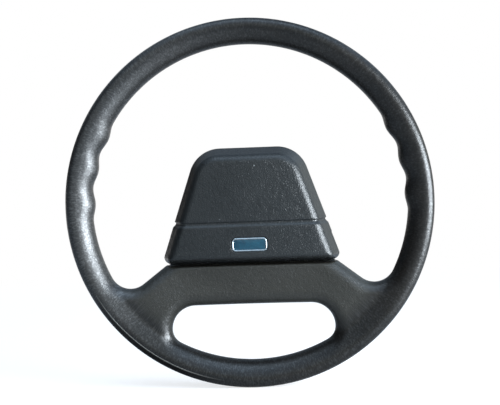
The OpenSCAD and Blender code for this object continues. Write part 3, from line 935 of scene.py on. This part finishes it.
@dataclass(frozen=True)
class ScrewKind:
    """Sizes of one kind of screw, with its head's seat and the way that its head faces."""

    shank: float
    shank_end: float
    seat: float
    head: float
    head_height: float
    recess: float
    recess_depth: float
    shoulder: float = 0.0
    shoulder_end: float = 0.0
    facing: int = -1
    pitch: float = 0.8 * MM
    depth: float = 0.28 * MM
    bevel: float = 0.35 * MM
    drill_tip: float = 0.3 * MM
    crown_share: float = 0.22

    def mesh(self, name: str) -> Mesh:
        """The screw about the wheel's axis, with its thread and a six-sided recess."""
        up = self.facing
        seat, top = self.seat, self.seat + up * self.head_height
        bevel = self.bevel
        rows = []
        if self.shoulder > self.shank:
            rows += [(self.shank, self.shoulder_end), (self.shoulder - bevel / 2, self.shoulder_end),
                     (self.shoulder, self.shoulder_end + up * bevel / 2), (self.shoulder, seat)]
        else:
            rows += [(self.shank, seat)]
        crown = self.head_height * self.crown_share
        rows += [(self.head - bevel / 2, seat), (self.head, seat + up * bevel / 2),
                 (self.head, top - up * (crown + bevel)), (self.head - bevel * 0.6, top - up * crown),
                 (self.head * 0.72, top - up * crown * 0.3), (self.recess + bevel * 1.6, top),
                 (self.recess + bevel, top), (self.recess, top - up * bevel, 6),
                 (self.recess, top - up * self.recess_depth, 6),
                 (self.recess * 0.3, top - up * (self.recess_depth + self.drill_tip))]
        body = turned(name, rows, 48)
        return joined(name, [body, self.thread(name)])

    def thread(self, name: str) -> Mesh:
        """The threaded shank, whose radius follows the helix."""
        start = self.shoulder_end if self.shoulder > self.shank else self.seat
        length = abs(self.shank_end - start)
        step = 1 if self.shank_end > start else -1
        around, rows_a_turn = 24, 6
        count = max(2, round(length / self.pitch * rows_a_turn))
        rings = []
        for j in range(count + 1):
            along = length * j / count
            ring = []
            for i in range(around):
                share = i / around
                wave = abs(((along / self.pitch - share) % 1.0) * 2 - 1)
                fade = min(1.0, (length - along) / (2 * self.pitch), along / self.pitch + 0.2)
                r = self.shank - self.depth * (1 - wave * max(fade, 0.0))
                a = math.tau * share
                ring.append((r * math.cos(a), -(start + step * along), r * math.sin(a)))
            rings.append(ring)
        return lofted(f"{name}_thread", rings)


class Placing(Enum):
    """How copies of a fastener are set out."""

    GUIDE = "guide_screws"
    SHROUD = "shroud_screws"
    CARRIER = "carrier_screws"


@dataclass(frozen=True)
class Fasteners:
    """All screws, each kind set out by one rule that also turns every head a little differently."""

    pad: PadPlan

    GUIDE_X, GUIDE_Z = 33 * MM, 24 * MM
    SHROUD_RING = 33 * MM
    SHROUD_ANGLES = (90, 245, 295)
    KINDS = {
        Placing.GUIDE: ScrewKind(
            shank=2.45 * MM, shank_end=35.5 * MM, seat=56.35 * MM, shoulder=3 * MM, shoulder_end=41.02 * MM,
            head=6.5 * MM, head_height=3 * MM, recess=2.3 * MM, recess_depth=2 * MM, facing=1),
        Placing.SHROUD: ScrewKind(
            shank=2 * MM, shank_end=43.4 * MM, seat=29.98 * MM, head=4 * MM, head_height=2.55 * MM,
            recess=1.9 * MM, recess_depth=1.4 * MM),
        Placing.CARRIER: ScrewKind(
            shank=1.5 * MM, shank_end=63.8 * MM, seat=51.98 * MM, head=3.6 * MM, head_height=2.15 * MM,
            recess=1.6 * MM, recess_depth=1.1 * MM, pitch=1.1 * MM, depth=0.35 * MM)}
    BODIES = {Placing.GUIDE: WHEEL, Placing.SHROUD: WHEEL, Placing.CARRIER: HORN_PAD}

    def places(self, kind: Placing) -> list[tuple[float, float]]:
        """Where the screws of a kind stand, across and up the wheel."""
        if kind is Placing.GUIDE:
            return [(sx * self.GUIDE_X, sz * self.GUIDE_Z) for sz in (1, -1) for sx in (-1, 1)]
        if kind is Placing.CARRIER:
            return self.pad.boss_places()
        turns = [math.radians(angle) for angle in self.SHROUD_ANGLES]
        return [(self.SHROUD_RING * math.cos(a), self.SHROUD_RING * math.sin(a)) for a in turns]

    def rule(self) -> GeometryRule:
        """The tree that puts one screw at each point, turned at random about its own axis."""
        rule = GeometryRule("set_out", {"Screw": Piece, "Turn": float, "Seed": int})
        shape = rule.term("GeometryNodeObjectInfo", {"Object": rule.given("Screw")}, "Geometry")
        turn = rule.node("FunctionNodeRandomValue", {"Seed": rule.given("Seed")}, data_type="FLOAT")
        rule.feed(turn.inputs[3], rule.given("Turn"))
        angle = rule.vector(0.0, Term(rule, turn.outputs[1]), 0.0)
        euler = rule.term("FunctionNodeEulerToRotation", {0: angle})
        rule.close(rule.term("GeometryNodeInstanceOnPoints", {
            "Points": rule.given("Geometry"), "Instance": shape, "Rotation": euler}))
        return rule

    def build(self, finish: Material) -> list[Piece]:
        """Builds every kind of screw and hides the plain ones."""
        rule = self.rule()
        made = []
        for seed, (kind, sizes) in enumerate(self.KINDS.items()):
            places = self.places(kind)
            model = new_piece(f"{kind.value}_model", sizes.mesh(kind.value))
            points = mesh_of("places", [(x, 0, z) for x, z in places], [])
            piece = rule.grow(kind.value, points, {"Screw": model, "Turn": math.tau, "Seed": seed}, finish)
            bpy.data.objects.remove(model)
            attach(piece, self.BODIES[kind])
            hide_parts(*[f"{kind.value[:-1]}_{i + 1}" for i in range(len(places))])
            made.append(piece)
        return made


@dataclass(frozen=True)
class SpringKind:
    """Sizes of one kind of compression spring and the room that it works in."""

    name: str
    nodes: tuple[str, ...]
    mean: float
    wire: float
    turns: float
    foot: float
    head: float

    def kept(self, travel: float) -> float:
        """Share of its length that is left when the pad is pressed home."""
        return (self.head - self.foot - travel) / (self.head - self.foot)


class Springs:
    """The horn springs and the feed spring, coiled by one rule with closed ends."""

    TRAVEL = 2.5 * MM
    KINDS = (
        SpringKind("horn_springs", tuple(f"horn_spring_{i}" for i in range(1, 5)), mean=5.2 * MM,
                   wire=0.55 * MM, turns=3.5, foot=41.05 * MM, head=50.75 * MM),
        SpringKind("feed_spring_wire", ("feed_spring",), mean=2.2 * MM,
                   wire=0.35 * MM, turns=5.0, foot=43.05 * MM, head=50.95 * MM))
    INPUTS = {"Mean Radius": float, "Wire Radius": float, "Turns": float, "Foot": float, "Head": float,
              "Closed End": float}
    STEPS_A_TURN = 36
    CLOSED_END = 0.16

    def rule(self) -> GeometryRule:
        """The tree that coils a wire and sets one coil at each point."""
        rule = GeometryRule("coil", self.INPUTS)
        given = rule.given
        line = rule.term("GeometryNodeCurvePrimitiveLine", {})
        count = rule.math("MULTIPLY", given("Turns"), float(self.STEPS_A_TURN))
        path = rule.term("GeometryNodeResampleCurve", {"Curve": line, "Count": count})
        share = rule.term("GeometryNodeSplineParameter", {}, "Factor")
        angle = share * given("Turns") * math.tau
        low = given("Foot") + given("Wire Radius")
        rise = given("Head") - given("Foot") - given("Wire Radius") * 2.0
        ends = share.ramp(given("Closed End"), 1.0 - given("Closed End"))
        height = low + rise * (share * 0.3 + ends * 0.7)
        place = rule.vector(angle.cosine() * given("Mean Radius"), -height,
                            angle.sine() * given("Mean Radius"))
        helix = rule.term("GeometryNodeSetPosition", {"Geometry": path, "Position": place})
        round_wire = rule.term("GeometryNodeCurvePrimitiveCircle",
                               {"Resolution": 12, "Radius": given("Wire Radius")})
        coil = rule.term("GeometryNodeCurveToMesh", {"Curve": helix, "Profile Curve": round_wire,
                                                     "Fill Caps": True})
        rule.close(rule.term("GeometryNodeInstanceOnPoints", {"Points": given("Geometry"), "Instance": coil}))
        return rule

    def build(self, finish: Material) -> list[Piece]:
        """Coils every spring and hides the plain ones."""
        rule = self.rule()
        made = []
        for kind in self.KINDS:
            boxes = [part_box(node) for node in kind.nodes]
            points = [((a.x + b.x) / 2, 0, (a.z + b.z) / 2) for a, b in boxes]
            sizes = {"Mean Radius": kind.mean, "Wire Radius": kind.wire, "Turns": kind.turns,
                     "Foot": kind.foot, "Head": kind.head, "Closed End": self.CLOSED_END}
            piece = rule.grow(kind.name, mesh_of("places", points, []), sizes, finish)
            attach(piece, WHEEL)
            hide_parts(*kind.nodes)
            kind.kept(self.TRAVEL)
            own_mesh(piece)
            made.append(piece)
        return made


class ShaderRule(Rule):
    """A shader node group with named inputs and outputs."""

    def __init__(self, name: str, inputs: dict[str, type], outputs: Iterable[str]) -> None:
        """Makes the group.

        Args:
            name: the group's name.
            inputs: name of each input to its type, beside the vector that each group has.
            outputs: names of the masks and heights that it gives.
        """
        super().__init__(bpy.data.node_groups.new(name, "ShaderNodeTree"))
        self.open({"Vector": Vector, **inputs})
        self.sockets("OUTPUT", dict.fromkeys(outputs, float))
        self.exit = self.tree.nodes.new("NodeGroupOutput")

    def give(self, name: str, value: Term) -> None:
        """Sets one of the group's outputs."""
        self.feed(self.exit.inputs[name], value)

    def noise(self, place: Term, detail: float = 2.0, roughness: float = 0.55) -> Term:
        """Smooth noise at a place whose unit is one cell."""
        return self.term("ShaderNodeTexNoise", {"Vector": place, "Scale": 1.0, "Detail": detail,
                                                "Roughness": roughness}, 0)

    def scaled(self, vector: Term, *parts: Value) -> Term:
        """A vector divided part by part, or all by one value."""
        x, y, z = parts if len(parts) == 3 else parts * 3
        return self.term("ShaderNodeVectorMath", {0: vector, 1: self.vector(x, y, z)}, operation="DIVIDE")

    def moved(self, vector: Term, step: Term) -> Term:
        """Sum of two vectors."""
        return self.term("ShaderNodeVectorMath", {0: vector, 1: step}, operation="ADD")

    def wander(self, place: Term, amount: Value) -> Term:
        """A place pushed about by soft noise."""
        push = self.term("ShaderNodeTexNoise", {"Vector": place, "Scale": 0.55, "Detail": 1.0}, 1)
        centred = self.term("ShaderNodeVectorMath", {0: push, 1: (0.5, 0.5, 0.5)}, operation="SUBTRACT")
        scaled = self.term("ShaderNodeVectorMath", {0: centred, "Scale": amount}, operation="SCALE")
        return self.moved(place, scaled)


class Effects:
    """The effects that several finishes share, each built once as a node group."""

    def __init__(self) -> None:
        """Builds all groups."""
        self.hide = self.make_hide()
        self.creases = self.make_creases()
        self.patches = self.make_patches()
        self.specks = self.make_specks()
        self.tooling = self.make_tooling()

    def make_hide(self) -> NodeTree:
        """Moulded leather grain: pillows of two sizes with fine pores between them."""
        rule = ShaderRule("hide_grain", {"Cell": float, "Stretch": float, "Billow": float},
                          ("Height", "Crease"))
        cell = rule.given("Cell")
        place = rule.scaled(rule.given("Vector"), cell, cell, cell * rule.given("Stretch"))
        bent = rule.wander(place, 1.1)
        large, small = (rule.term("ShaderNodeTexVoronoi", {"Vector": bent, "Scale": scale},
                                  "Distance", feature="DISTANCE_TO_EDGE").ramp(0.0, edge)
                        for scale, edge in ((1.0, 0.16), (2.3, 0.14)))
        pores = rule.noise(rule.scaled(rule.given("Vector"), cell * 0.2), 1.0)
        billow = rule.noise(rule.scaled(bent, 1.5), 1.0)
        rule.give("Height", large * 0.6 + small * 0.2 + pores * 0.2 + billow * rule.given("Billow"))
        # Crease marks the grain's creases, which the grained skins paint darker as painted shade.
        rule.give("Crease", 1.0 - large * (small * 0.4 + 0.6))
        return rule.tree

    def make_creases(self) -> NodeTree:
        """Fine wrinkles across a round grip, from the angles round the wheel and round the section."""
        rule = ShaderRule("grip_creases", {"Spacing": float, "Length": float}, ("Height",))
        place = rule.scaled(rule.given("Vector"), rule.given("Spacing"), rule.given("Length"),
                            rule.given("Spacing"))
        bent = rule.wander(place, 0.9)
        coarse = rule.noise(bent, 2.0, 0.6)
        ridged = 1.0 - ((coarse - 0.5).size() * 5.0).least(1.0)
        fine = rule.noise(rule.scaled(bent, 0.41, 0.55, 0.41), 2.0)
        rule.give("Height", fine * 0.5 + 0.5 - ridged * 0.5)
        return rule.tree

    def make_patches(self) -> NodeTree:
        """Broad uneven patches, as hands, polish and age leave them."""
        rule = ShaderRule("uneven_patches", {"Size": float, "Sharpness": float}, ("Mask",))
        cloud = rule.noise(rule.scaled(rule.given("Vector"), rule.given("Size")), 4.0, 0.6)
        half = 0.5 - rule.given("Sharpness") * 0.45
        rule.give("Mask", cloud.ramp(0.5 - half * 0.5, 0.5 + half * 0.5))
        return rule.tree

    def make_specks(self) -> NodeTree:
        """Sparse small specks of lint."""
        rule = ShaderRule("lint_specks", {"Spacing": float, "Share": float}, ("Mask",))
        cells = rule.node("ShaderNodeTexVoronoi", {
            "Vector": rule.scaled(rule.given("Vector"), rule.given("Spacing")), "Scale": 1.0})
        chance = rule.term("ShaderNodeSeparateColor", {0: Term(rule, cells.outputs["Color"])})
        near = Term(rule, cells.outputs["Distance"]).ramp(0.07, 0.13, 1.0, 0.0)
        rule.give("Mask", near * rule.math("LESS_THAN", chance, rule.given("Share")))
        return rule.tree

    def make_tooling(self) -> NodeTree:
        """Fine lines left by turning or drawing, along one coordinate, with stray scratches."""
        rule = ShaderRule("tool_lines", {"Along": float, "Pitch": float}, ("Height",))
        along = rule.vector(rule.given("Along"), 0.0, 0.0)
        lines = rule.noise(rule.scaled(along, rule.given("Pitch"), 1.0, 1.0), 2.0)
        stray = rule.noise(rule.scaled(rule.given("Vector"), 0.4 * MM, 6 * MM, 0.4 * MM), 1.0)
        rule.give("Height", lines * 0.7 + stray.ramp(0.62, 0.72) * 0.3)
        return rule.tree


EFFECTS = Effects()


class Surface(TreeWriter):
    """One material that is being written."""

    def __init__(self, name: str) -> None:
        """Makes the material and finds its shader and its coordinates."""
        self.material = bpy.data.materials.new(name)
        self.material.use_nodes = True
        super().__init__(self.material.node_tree)
        self.shader = self.tree.nodes["Principled BSDF"]
        self.here = self.term("ShaderNodeTexCoord", {}, "Object")

    def use(self, group: NodeTree, inputs: dict, output: str | int = 0) -> Term:
        """Places a shared effect with this material's own values, by default where the surface is."""
        return self.term("ShaderNodeGroup", {"Vector": self.here, **inputs}, output, node_tree=group)

    def patches(self, size: float, sharpness: float) -> Term:
        """Uneven patches of that size."""
        return self.use(EFFECTS.patches, {"Size": size, "Sharpness": sharpness})

    def within(self, span: Span, share: Term) -> Term:
        """Value at a share of the way through a span."""
        low, high = span
        return low + share * (high - low)

    def relief(self, height: Term, depth: float) -> Term:
        """Normal that a height in shares of a depth gives."""
        return self.term("ShaderNodeBump", {"Height": height, "Distance": depth, "Strength": 1.0})

    def set(self, **sockets) -> None:
        """Feeds the shader; an underscore in a name stands for a space."""
        for name, value in sockets.items():
            self.feed(self.shader.inputs[name.replace("_", " ")], value)


@dataclass(frozen=True)
class GrainedSkin:
    """Grained moulded skin of the rim or the pad, with painted shade in the grain's creases; on the rim also
    a painted highlight along the parting step and a lighter painted tone on the spokes and bar.
    """

    name: str
    # valley is the darker colour painted into the grain's creases as painted shade; hill is the colour of its
    # pillows.
    valley: Colour
    hill: Colour
    aged: Colour
    cell: float
    stretch: float
    depth: float
    rough: Span
    specular: float
    billow: float
    grip_radius: float = 0.0
    grip_plane: float = 0.0
    grip_depth: float = 0.0
    polish: float = 0.0
    lint: float = 0.0

    SECTION = 13.3 * MM
    PARTING_ANGLE = 1.07
    PARTING_HEIGHT = 3.0
    # Pale tone painted along the parting step as its painted highlight.
    PARTING_HIGHLIGHT_TONE = (0.13, 0.125, 0.11)
    # Lighter tone for the spokes and bar: painted light standing in for the light they catch from the front.
    SPOKE_PAINTED_LIGHT_TONE = (0.0148, 0.0142, 0.0115)
    LINT_TONE = (0.16, 0.17, 0.17)

    def material(self) -> Material:
        """Builds the material."""
        s = Surface(self.name)
        grain = {"Cell": self.cell, "Stretch": self.stretch, "Billow": self.billow}
        height = s.use(EFFECTS.hide, grain, "Height")
        crease = s.use(EFFECTS.hide, grain, "Crease")
        worn = s.patches(45 * MM, 0.3)
        fine = s.patches(9 * MM, 0.1)
        relief = height
        if self.grip_radius:
            x, y, z = s.split(s.here)
            rho = s.length(x, z)
            around = s.math("ARCTAN2", z, x) * self.grip_radius
            tube = s.math("ARCTAN2", -y - self.grip_plane, rho - self.grip_radius)
            grip = s.use(EFFECTS.creases, {"Vector": s.vector(around, tube * self.SECTION, 0.0),
                                           "Spacing": 2.6 * MM, "Length": 6 * MM})
            share = rho.ramp(self.grip_radius - 32 * MM, self.grip_radius - 14 * MM)
            relief = height * (1.0 - share * 0.7) + grip * share * (self.grip_depth / self.depth)
            low_left = (z.ramp(-80 * MM, -120 * MM) * x.ramp(-25 * MM, -80 * MM)
                        * rho.ramp(self.grip_radius, self.grip_radius + 2 * MM))
            parting = (tube - self.PARTING_ANGLE).size().ramp(0.01, 0.05, 1.0, 0.0) * low_left
            outside = tube.ramp(self.PARTING_ANGLE - 0.02, self.PARTING_ANGLE - 0.08) * low_left
            relief = relief + parting * self.PARTING_HEIGHT
        # Painted shade: the grain's creases take the darker valley colour, the pillows the lighter hill
        # colour.
        colour = s.blend(crease * 0.75, self.hill, self.valley)
        colour = s.blend(worn * 0.45, colour, self.aged)
        roughness = s.within(self.rough, worn * 0.5 + fine * 0.3 + crease * 0.2)
        specular = self.specular
        if self.polish:
            held = x.ramp(50 * MM, -170 * MM) * z.ramp(-170 * MM, -40 * MM) * share
            gloss = grip.ramp(0.15, 0.75)
            # outside is the outer side of the parting line, where the specular is dimmed as painted shade
            # beside the step.
            specular = self.specular * (1.0 + (gloss - 0.7) * 0.6 * share) * (1.0 - outside * 0.8)
            # Painted light: away from the rim, the spokes and bar take a lighter tone than the rim's grain.
            colour = s.blend(share * 0.85 + 0.15, self.SPOKE_PAINTED_LIGHT_TONE, colour)
            # Painted highlight: the pale tone along the parting step stands in for the light that its edge
            # catches.
            colour = s.blend(parting * 0.8, colour, self.PARTING_HIGHLIGHT_TONE)
            s.set(Coat_Weight=held * self.polish * (gloss * 0.5 + 0.5), Coat_Roughness=0.48, Coat_IOR=1.7,
                  Coat_Normal=s.relief(relief, self.depth))
        if self.lint:
            specks = s.use(EFFECTS.specks, {"Spacing": 7.5 * MM, "Share": self.lint})
            colour = s.blend(specks * 0.6, colour, self.LINT_TONE)
        s.set(Base_Color=colour, Roughness=roughness, Normal=s.relief(relief, self.depth),
              Specular_IOR_Level=specular)
        return s.material


@dataclass(frozen=True)
class MouldedPlastic:
    """Unpainted plastic with a fine sparked texture."""

    name: str
    colour: Colour
    dusty: Colour
    texture: float
    depth: float
    roughness: float

    def material(self) -> Material:
        """Builds the material."""
        s = Surface(self.name)
        spark = s.use(EFFECTS.hide, {"Cell": self.texture, "Stretch": 1.0, "Billow": 0.3}, "Height")
        dust = s.patches(30 * MM, 0.4)
        specks = s.use(EFFECTS.specks, {"Spacing": 6 * MM, "Share": 0.12})
        colour = s.blend(dust * 0.4 + specks * 0.4, self.colour, self.dusty)
        s.set(Base_Color=colour, Roughness=self.roughness + dust * 0.15,
              Normal=s.relief(spark, self.depth), Specular_IOR_Level=0.4)
        return s.material


@dataclass(frozen=True)
class WorkedMetal:
    """Bare, plated or coated metal with the marks of its making."""

    name: str
    bright: Colour
    dull: Colour
    rough: Span
    metallic: float = 1.0
    pitch: float = 0.25 * MM
    depth: float = 0.01 * MM
    turned: bool = False
    patch: float = 12 * MM

    def material(self) -> Material:
        """Builds the material."""
        s = Surface(self.name)
        x, y, z = s.split(s.here)
        along = s.length(x, z) if self.turned else y
        lines = s.use(EFFECTS.tooling, {"Along": along, "Pitch": self.pitch})
        stain = s.patches(self.patch, 0.3)
        film = s.patches(self.patch * 0.2, 0.0)
        colour = s.blend(stain * 0.6 + film * 0.3, self.bright, self.dull)
        roughness = s.within(self.rough, stain * 0.6 + film * 0.2 + lines * 0.2)
        s.set(Base_Color=colour, Metallic=self.metallic, Roughness=roughness,
              Normal=s.relief(lines, self.depth))
        return s.material


@dataclass(frozen=True)
class Enamel:
    """Plain coloured enamel under a clear coat."""

    name: str
    deep: Colour
    pale: Colour

    def material(self) -> Material:
        """Builds the material."""
        s = Surface(self.name)
        cloud = s.patches(6 * MM, 0.0)
        scuffs = s.use(EFFECTS.tooling, {"Along": 0.0, "Pitch": 1 * MM})
        s.set(Base_Color=s.blend(cloud, self.deep, self.pale), Roughness=0.3 + scuffs * 0.12,
              Normal=s.relief(cloud, 0.02 * MM), Specular_IOR_Level=0.3, Coat_Weight=0.35,
              Coat_Roughness=0.1)
        return s.material


class Finishes:
    """Every finish of the wheel, by the record's slot names."""

    KINDS = {
        "rim_skin": GrainedSkin(
            "rim_skin_grain", (0.002, 0.0019, 0.0018), (0.0044, 0.0042, 0.0039), (0.008, 0.0066, 0.0052),
            cell=2.6 * MM, stretch=1.0, depth=0.1 * MM, rough=(0.27, 0.36), specular=0.5,
            billow=3.0, grip_radius=176.7 * MM, grip_plane=62 * MM, grip_depth=0.12 * MM, polish=1.0),
        "pad_skin": GrainedSkin(
            "pad_skin_grain", (0.005, 0.0055, 0.006), (0.011, 0.0125, 0.013), (0.012, 0.0132, 0.0135),
            cell=2.9 * MM, stretch=1.3, depth=0.13 * MM, rough=(0.27, 0.37), specular=0.4,
            billow=1.6, lint=0.05),
        "frame_steel": WorkedMetal("frame_steel_black", (0.03, 0.03, 0.032), (0.055, 0.045, 0.038),
                                   rough=(0.4, 0.62), metallic=0.35),
        "hub_steel": WorkedMetal("hub_steel_turned", (0.5, 0.49, 0.47), (0.27, 0.24, 0.21),
                                 rough=(0.26, 0.5), turned=True),
        "shroud_plastic": MouldedPlastic("shroud_texture", (0.014, 0.014, 0.015), (0.05, 0.048, 0.045),
                                         texture=0.9 * MM, depth=0.05 * MM, roughness=0.46),
        "ring_plastic": MouldedPlastic("ring_carrier_texture", (0.02, 0.02, 0.021), (0.05, 0.047, 0.042),
                                       texture=0.7 * MM, depth=0.03 * MM, roughness=0.4),
        "ring_brass": WorkedMetal("ring_brass_wiped", (0.78, 0.55, 0.25), (0.42, 0.28, 0.13),
                                  rough=(0.2, 0.42), turned=True),
        "contact_copper": WorkedMetal("contact_copper_turned", (0.8, 0.46, 0.3), (0.4, 0.24, 0.17),
                                      rough=(0.24, 0.46), turned=True),
        "bush_plastic": MouldedPlastic("bush_nylon", (0.68, 0.65, 0.56), (0.5, 0.46, 0.38),
                                       texture=1.4 * MM, depth=0.015 * MM, roughness=0.38),
        "spring_steel": WorkedMetal("spring_wire", (0.5, 0.5, 0.5), (0.25, 0.23, 0.21),
                                    rough=(0.24, 0.42)),
        "screw_steel": WorkedMetal("screw_zinc", (0.55, 0.55, 0.53), (0.36, 0.34, 0.3),
                                   rough=(0.28, 0.48)),
        "plated_steel": WorkedMetal("plated_sheet", (0.62, 0.58, 0.44), (0.4, 0.36, 0.26),
                                    rough=(0.26, 0.46)),
        "carrier_plastic": MouldedPlastic("carrier_texture", (0.016, 0.016, 0.017), (0.04, 0.038, 0.036),
                                          texture=1.1 * MM, depth=0.03 * MM, roughness=0.42),
        "bezel_chrome": WorkedMetal("bezel_satin", (0.42, 0.47, 0.5), (0.26, 0.3, 0.33),
                                    rough=(0.26, 0.4), patch=5 * MM),
        "inlay_enamel": Enamel("inlay_blue", (0.003, 0.022, 0.038), (0.006, 0.04, 0.062)),
    }

    def __init__(self) -> None:
        """Builds all materials."""
        self.made = {slot: kind.material() for slot, kind in self.KINDS.items()}

    def __getitem__(self, slot: str) -> Material:
        """The material of a slot."""
        return self.made[slot]

    def dress_nodes(self) -> None:
        """Gives each carried-over CAD node the finish of its own slot."""
        slots = {part["node"]: part["material_slot"] for part in frame["record"]["subparts"]}
        for name, node in frame["nodes"].items():
            slot = slots[name]
            node.data.materials.clear()
            node.data.materials.append(self[slot])
            LOG.info("%s wears %s", name, self[slot].name)


@dataclass(frozen=True)
class CameraView:
    """Where the photograph was taken from."""

    azimuth: float = 4.0
    elevation: float = 3.0
    roll: float = -2.2
    distance: float = 1.3
    width: float = 515.2 * MM
    target: tuple[float, float, float] = (0.0015, -0.062, 0.001)
    sensor: float = 36.0


@dataclass(frozen=True)
class Lamp:
    """One soft rectangular lamp that is aimed at the wheel."""

    name: str
    place: tuple[float, float, float]
    width: float
    height: float
    power: float
    colour: Colour


class Studio:
    """The floor, the surroundings, the lamps and the camera."""

    LAMPS = (
        Lamp("window_lamp", (0.58, -0.39, 0.03), width=0.5, height=0.36, power=17.0,
             colour=(0.85, 0.93, 1.0)),
        Lamp("sky_lamp", (-0.1, -0.45, 1.3), width=1.4, height=0.9, power=7.0,
             colour=(0.68, 0.84, 1.0)))
    DARK = (0.035, 0.03, 0.027)
    FRONT = (0.87, 0.92, 0.89)
    ABOVE = (1.15, 1.55, 2.05)
    WHITE = (1.0, 1.0, 1.0)
    FLOOR_GAP = 0.4 * MM
    FLOOR_HALF = 30.0
    FLOOR_TONES = ((0.4, 0.4, 0.4), (0.38, 0.38, 0.385))
    FLOOR_GLOW = 0.68

    def world(self) -> None:
        """A room, pale in front and dark behind, with soft light behind aside and above.

        The camera sees it white, and so do clear and glossy surfaces right behind the wheel.
        """
        world = bpy.data.worlds.new("surroundings")
        bpy.context.scene.world = world
        world.use_nodes = True
        s = TreeWriter(world.node_tree)
        x, y, z = s.split(s.term("ShaderNodeTexCoord", {}, "Generated"))
        behind = y.ramp(-0.2, 0.3)
        aside = behind * x.ramp(0.15, 0.45) * 0.75
        overhead = behind * z.ramp(0.15, 0.45) * 0.28
        front = (x * 0.62 - y * 0.9 + z * 0.5).ramp(0.3, 0.95)
        pale = s.blend(z.ramp(0.1, 0.9), self.FRONT, self.ABOVE)
        room = s.blend(front.most(aside).most(overhead), self.DARK, pale)
        seen = s.rays("Camera").most(s.rays("Glossy", "Transmission") * y.ramp(0.95, 0.99))
        s.feed(world.node_tree.nodes["Background"].inputs["Color"], s.blend(seen, room, self.WHITE))

    def floor(self) -> None:
        """A plain pale floor just under the rim."""
        level = CAD_BOX[0].z - self.FLOOR_GAP
        h = self.FLOOR_HALF
        corners = [(-h, -h, level), (h, -h, level), (h, h, level), (-h, h, level)]
        floor = new_piece("floor", mesh_of("floor", corners, [(0, 1, 2, 3)]))
        s = Surface("floor_paint")
        x, y, z = s.split(s.here)
        cloud = s.patches(0.4, 0.0)
        camera = s.rays("Camera")
        s.set(Base_Color=s.blend(cloud * 0.3, *self.FLOOR_TONES), Roughness=0.7, Specular_IOR_Level=0.2,
              Emission_Color=(*self.WHITE, 1.0), Emission_Strength=camera * self.FLOOR_GLOW)
        far = s.length(x, y).ramp(0.35, 1.1)
        seen = camera.most(s.rays("Glossy", "Transmission") * y.ramp(0.2, 0.6))
        white = s.term("ShaderNodeEmission", {"Color": (*self.WHITE, 1.0), "Strength": 1.0})
        mixed = s.node("ShaderNodeMixShader", {0: far * seen})
        s.tree.links.new(s.shader.outputs[0], mixed.inputs[1])
        s.tree.links.new(white.socket, mixed.inputs[2])
        s.tree.links.new(mixed.outputs[0], s.tree.nodes["Material Output"].inputs["Surface"])
        floor.data.materials.append(s.material)

    def lamps(self) -> None:
        """All lamps, aimed at the middle of the wheel."""
        for lamp in self.LAMPS:
            data = bpy.data.lights.new(lamp.name, "AREA")
            data.shape = "RECTANGLE"
            data.size, data.size_y = lamp.width, lamp.height
            data.energy, data.color = lamp.power, lamp.colour
            made = new_piece(lamp.name, data)
            made.location = lamp.place
            made.rotation_mode = "QUATERNION"
            made.rotation_quaternion = (-Vector(lamp.place)).to_track_quat("-Z", "Y")

    def camera(self, view: CameraView) -> None:
        """Sets up the photograph's view.

        Args:
            view: its direction, distance and frame.
        """
        data = bpy.data.cameras.new("camera")
        data.sensor_width = view.sensor
        data.lens = view.sensor * view.distance / view.width
        made = new_piece("camera", data)
        a, e = math.radians(view.azimuth), math.radians(view.elevation)
        back = Vector((math.sin(a) * math.cos(e), -math.cos(a) * math.cos(e), math.sin(e)))
        made.location = Vector(view.target) + back * view.distance
        made.rotation_mode = "QUATERNION"
        turn = Matrix.Rotation(math.radians(view.roll), 3, "Z").to_quaternion()
        made.rotation_quaternion = (-back).to_track_quat("-Z", "Y") @ turn
        bpy.context.scene.camera = made

    def build(self) -> None:
        """Builds the whole studio."""
        self.world()
        self.floor()
        self.lamps()
        self.camera(CameraView())
        bpy.context.scene.view_settings.view_transform = "Standard"


def main() -> None:
    """Builds every sub-assembly in order and reports each piece."""
    logging.basicConfig(level=logging.INFO, format="%(name)s: %(message)s")
    Studio().build()
    finishes = Finishes()
    finishes.dress_nodes()
    pad = PadPlan()
    pieces = [RimSkin(RimPlan(), pad).build(finishes["rim_skin"]),
              PadSkin(pad).build(finishes["pad_skin"])]
    pieces += Badge(pad.badge).build(finishes["bezel_chrome"], finishes["inlay_enamel"])
    pieces += Fasteners(pad).build(finishes["screw_steel"])
    pieces += Springs().build(finishes["spring_steel"])
    for piece in pieces:
        LOG.info("%s: %d faces", piece.name, len(piece.data.polygons))


if __name__ == "__main__":
    main()
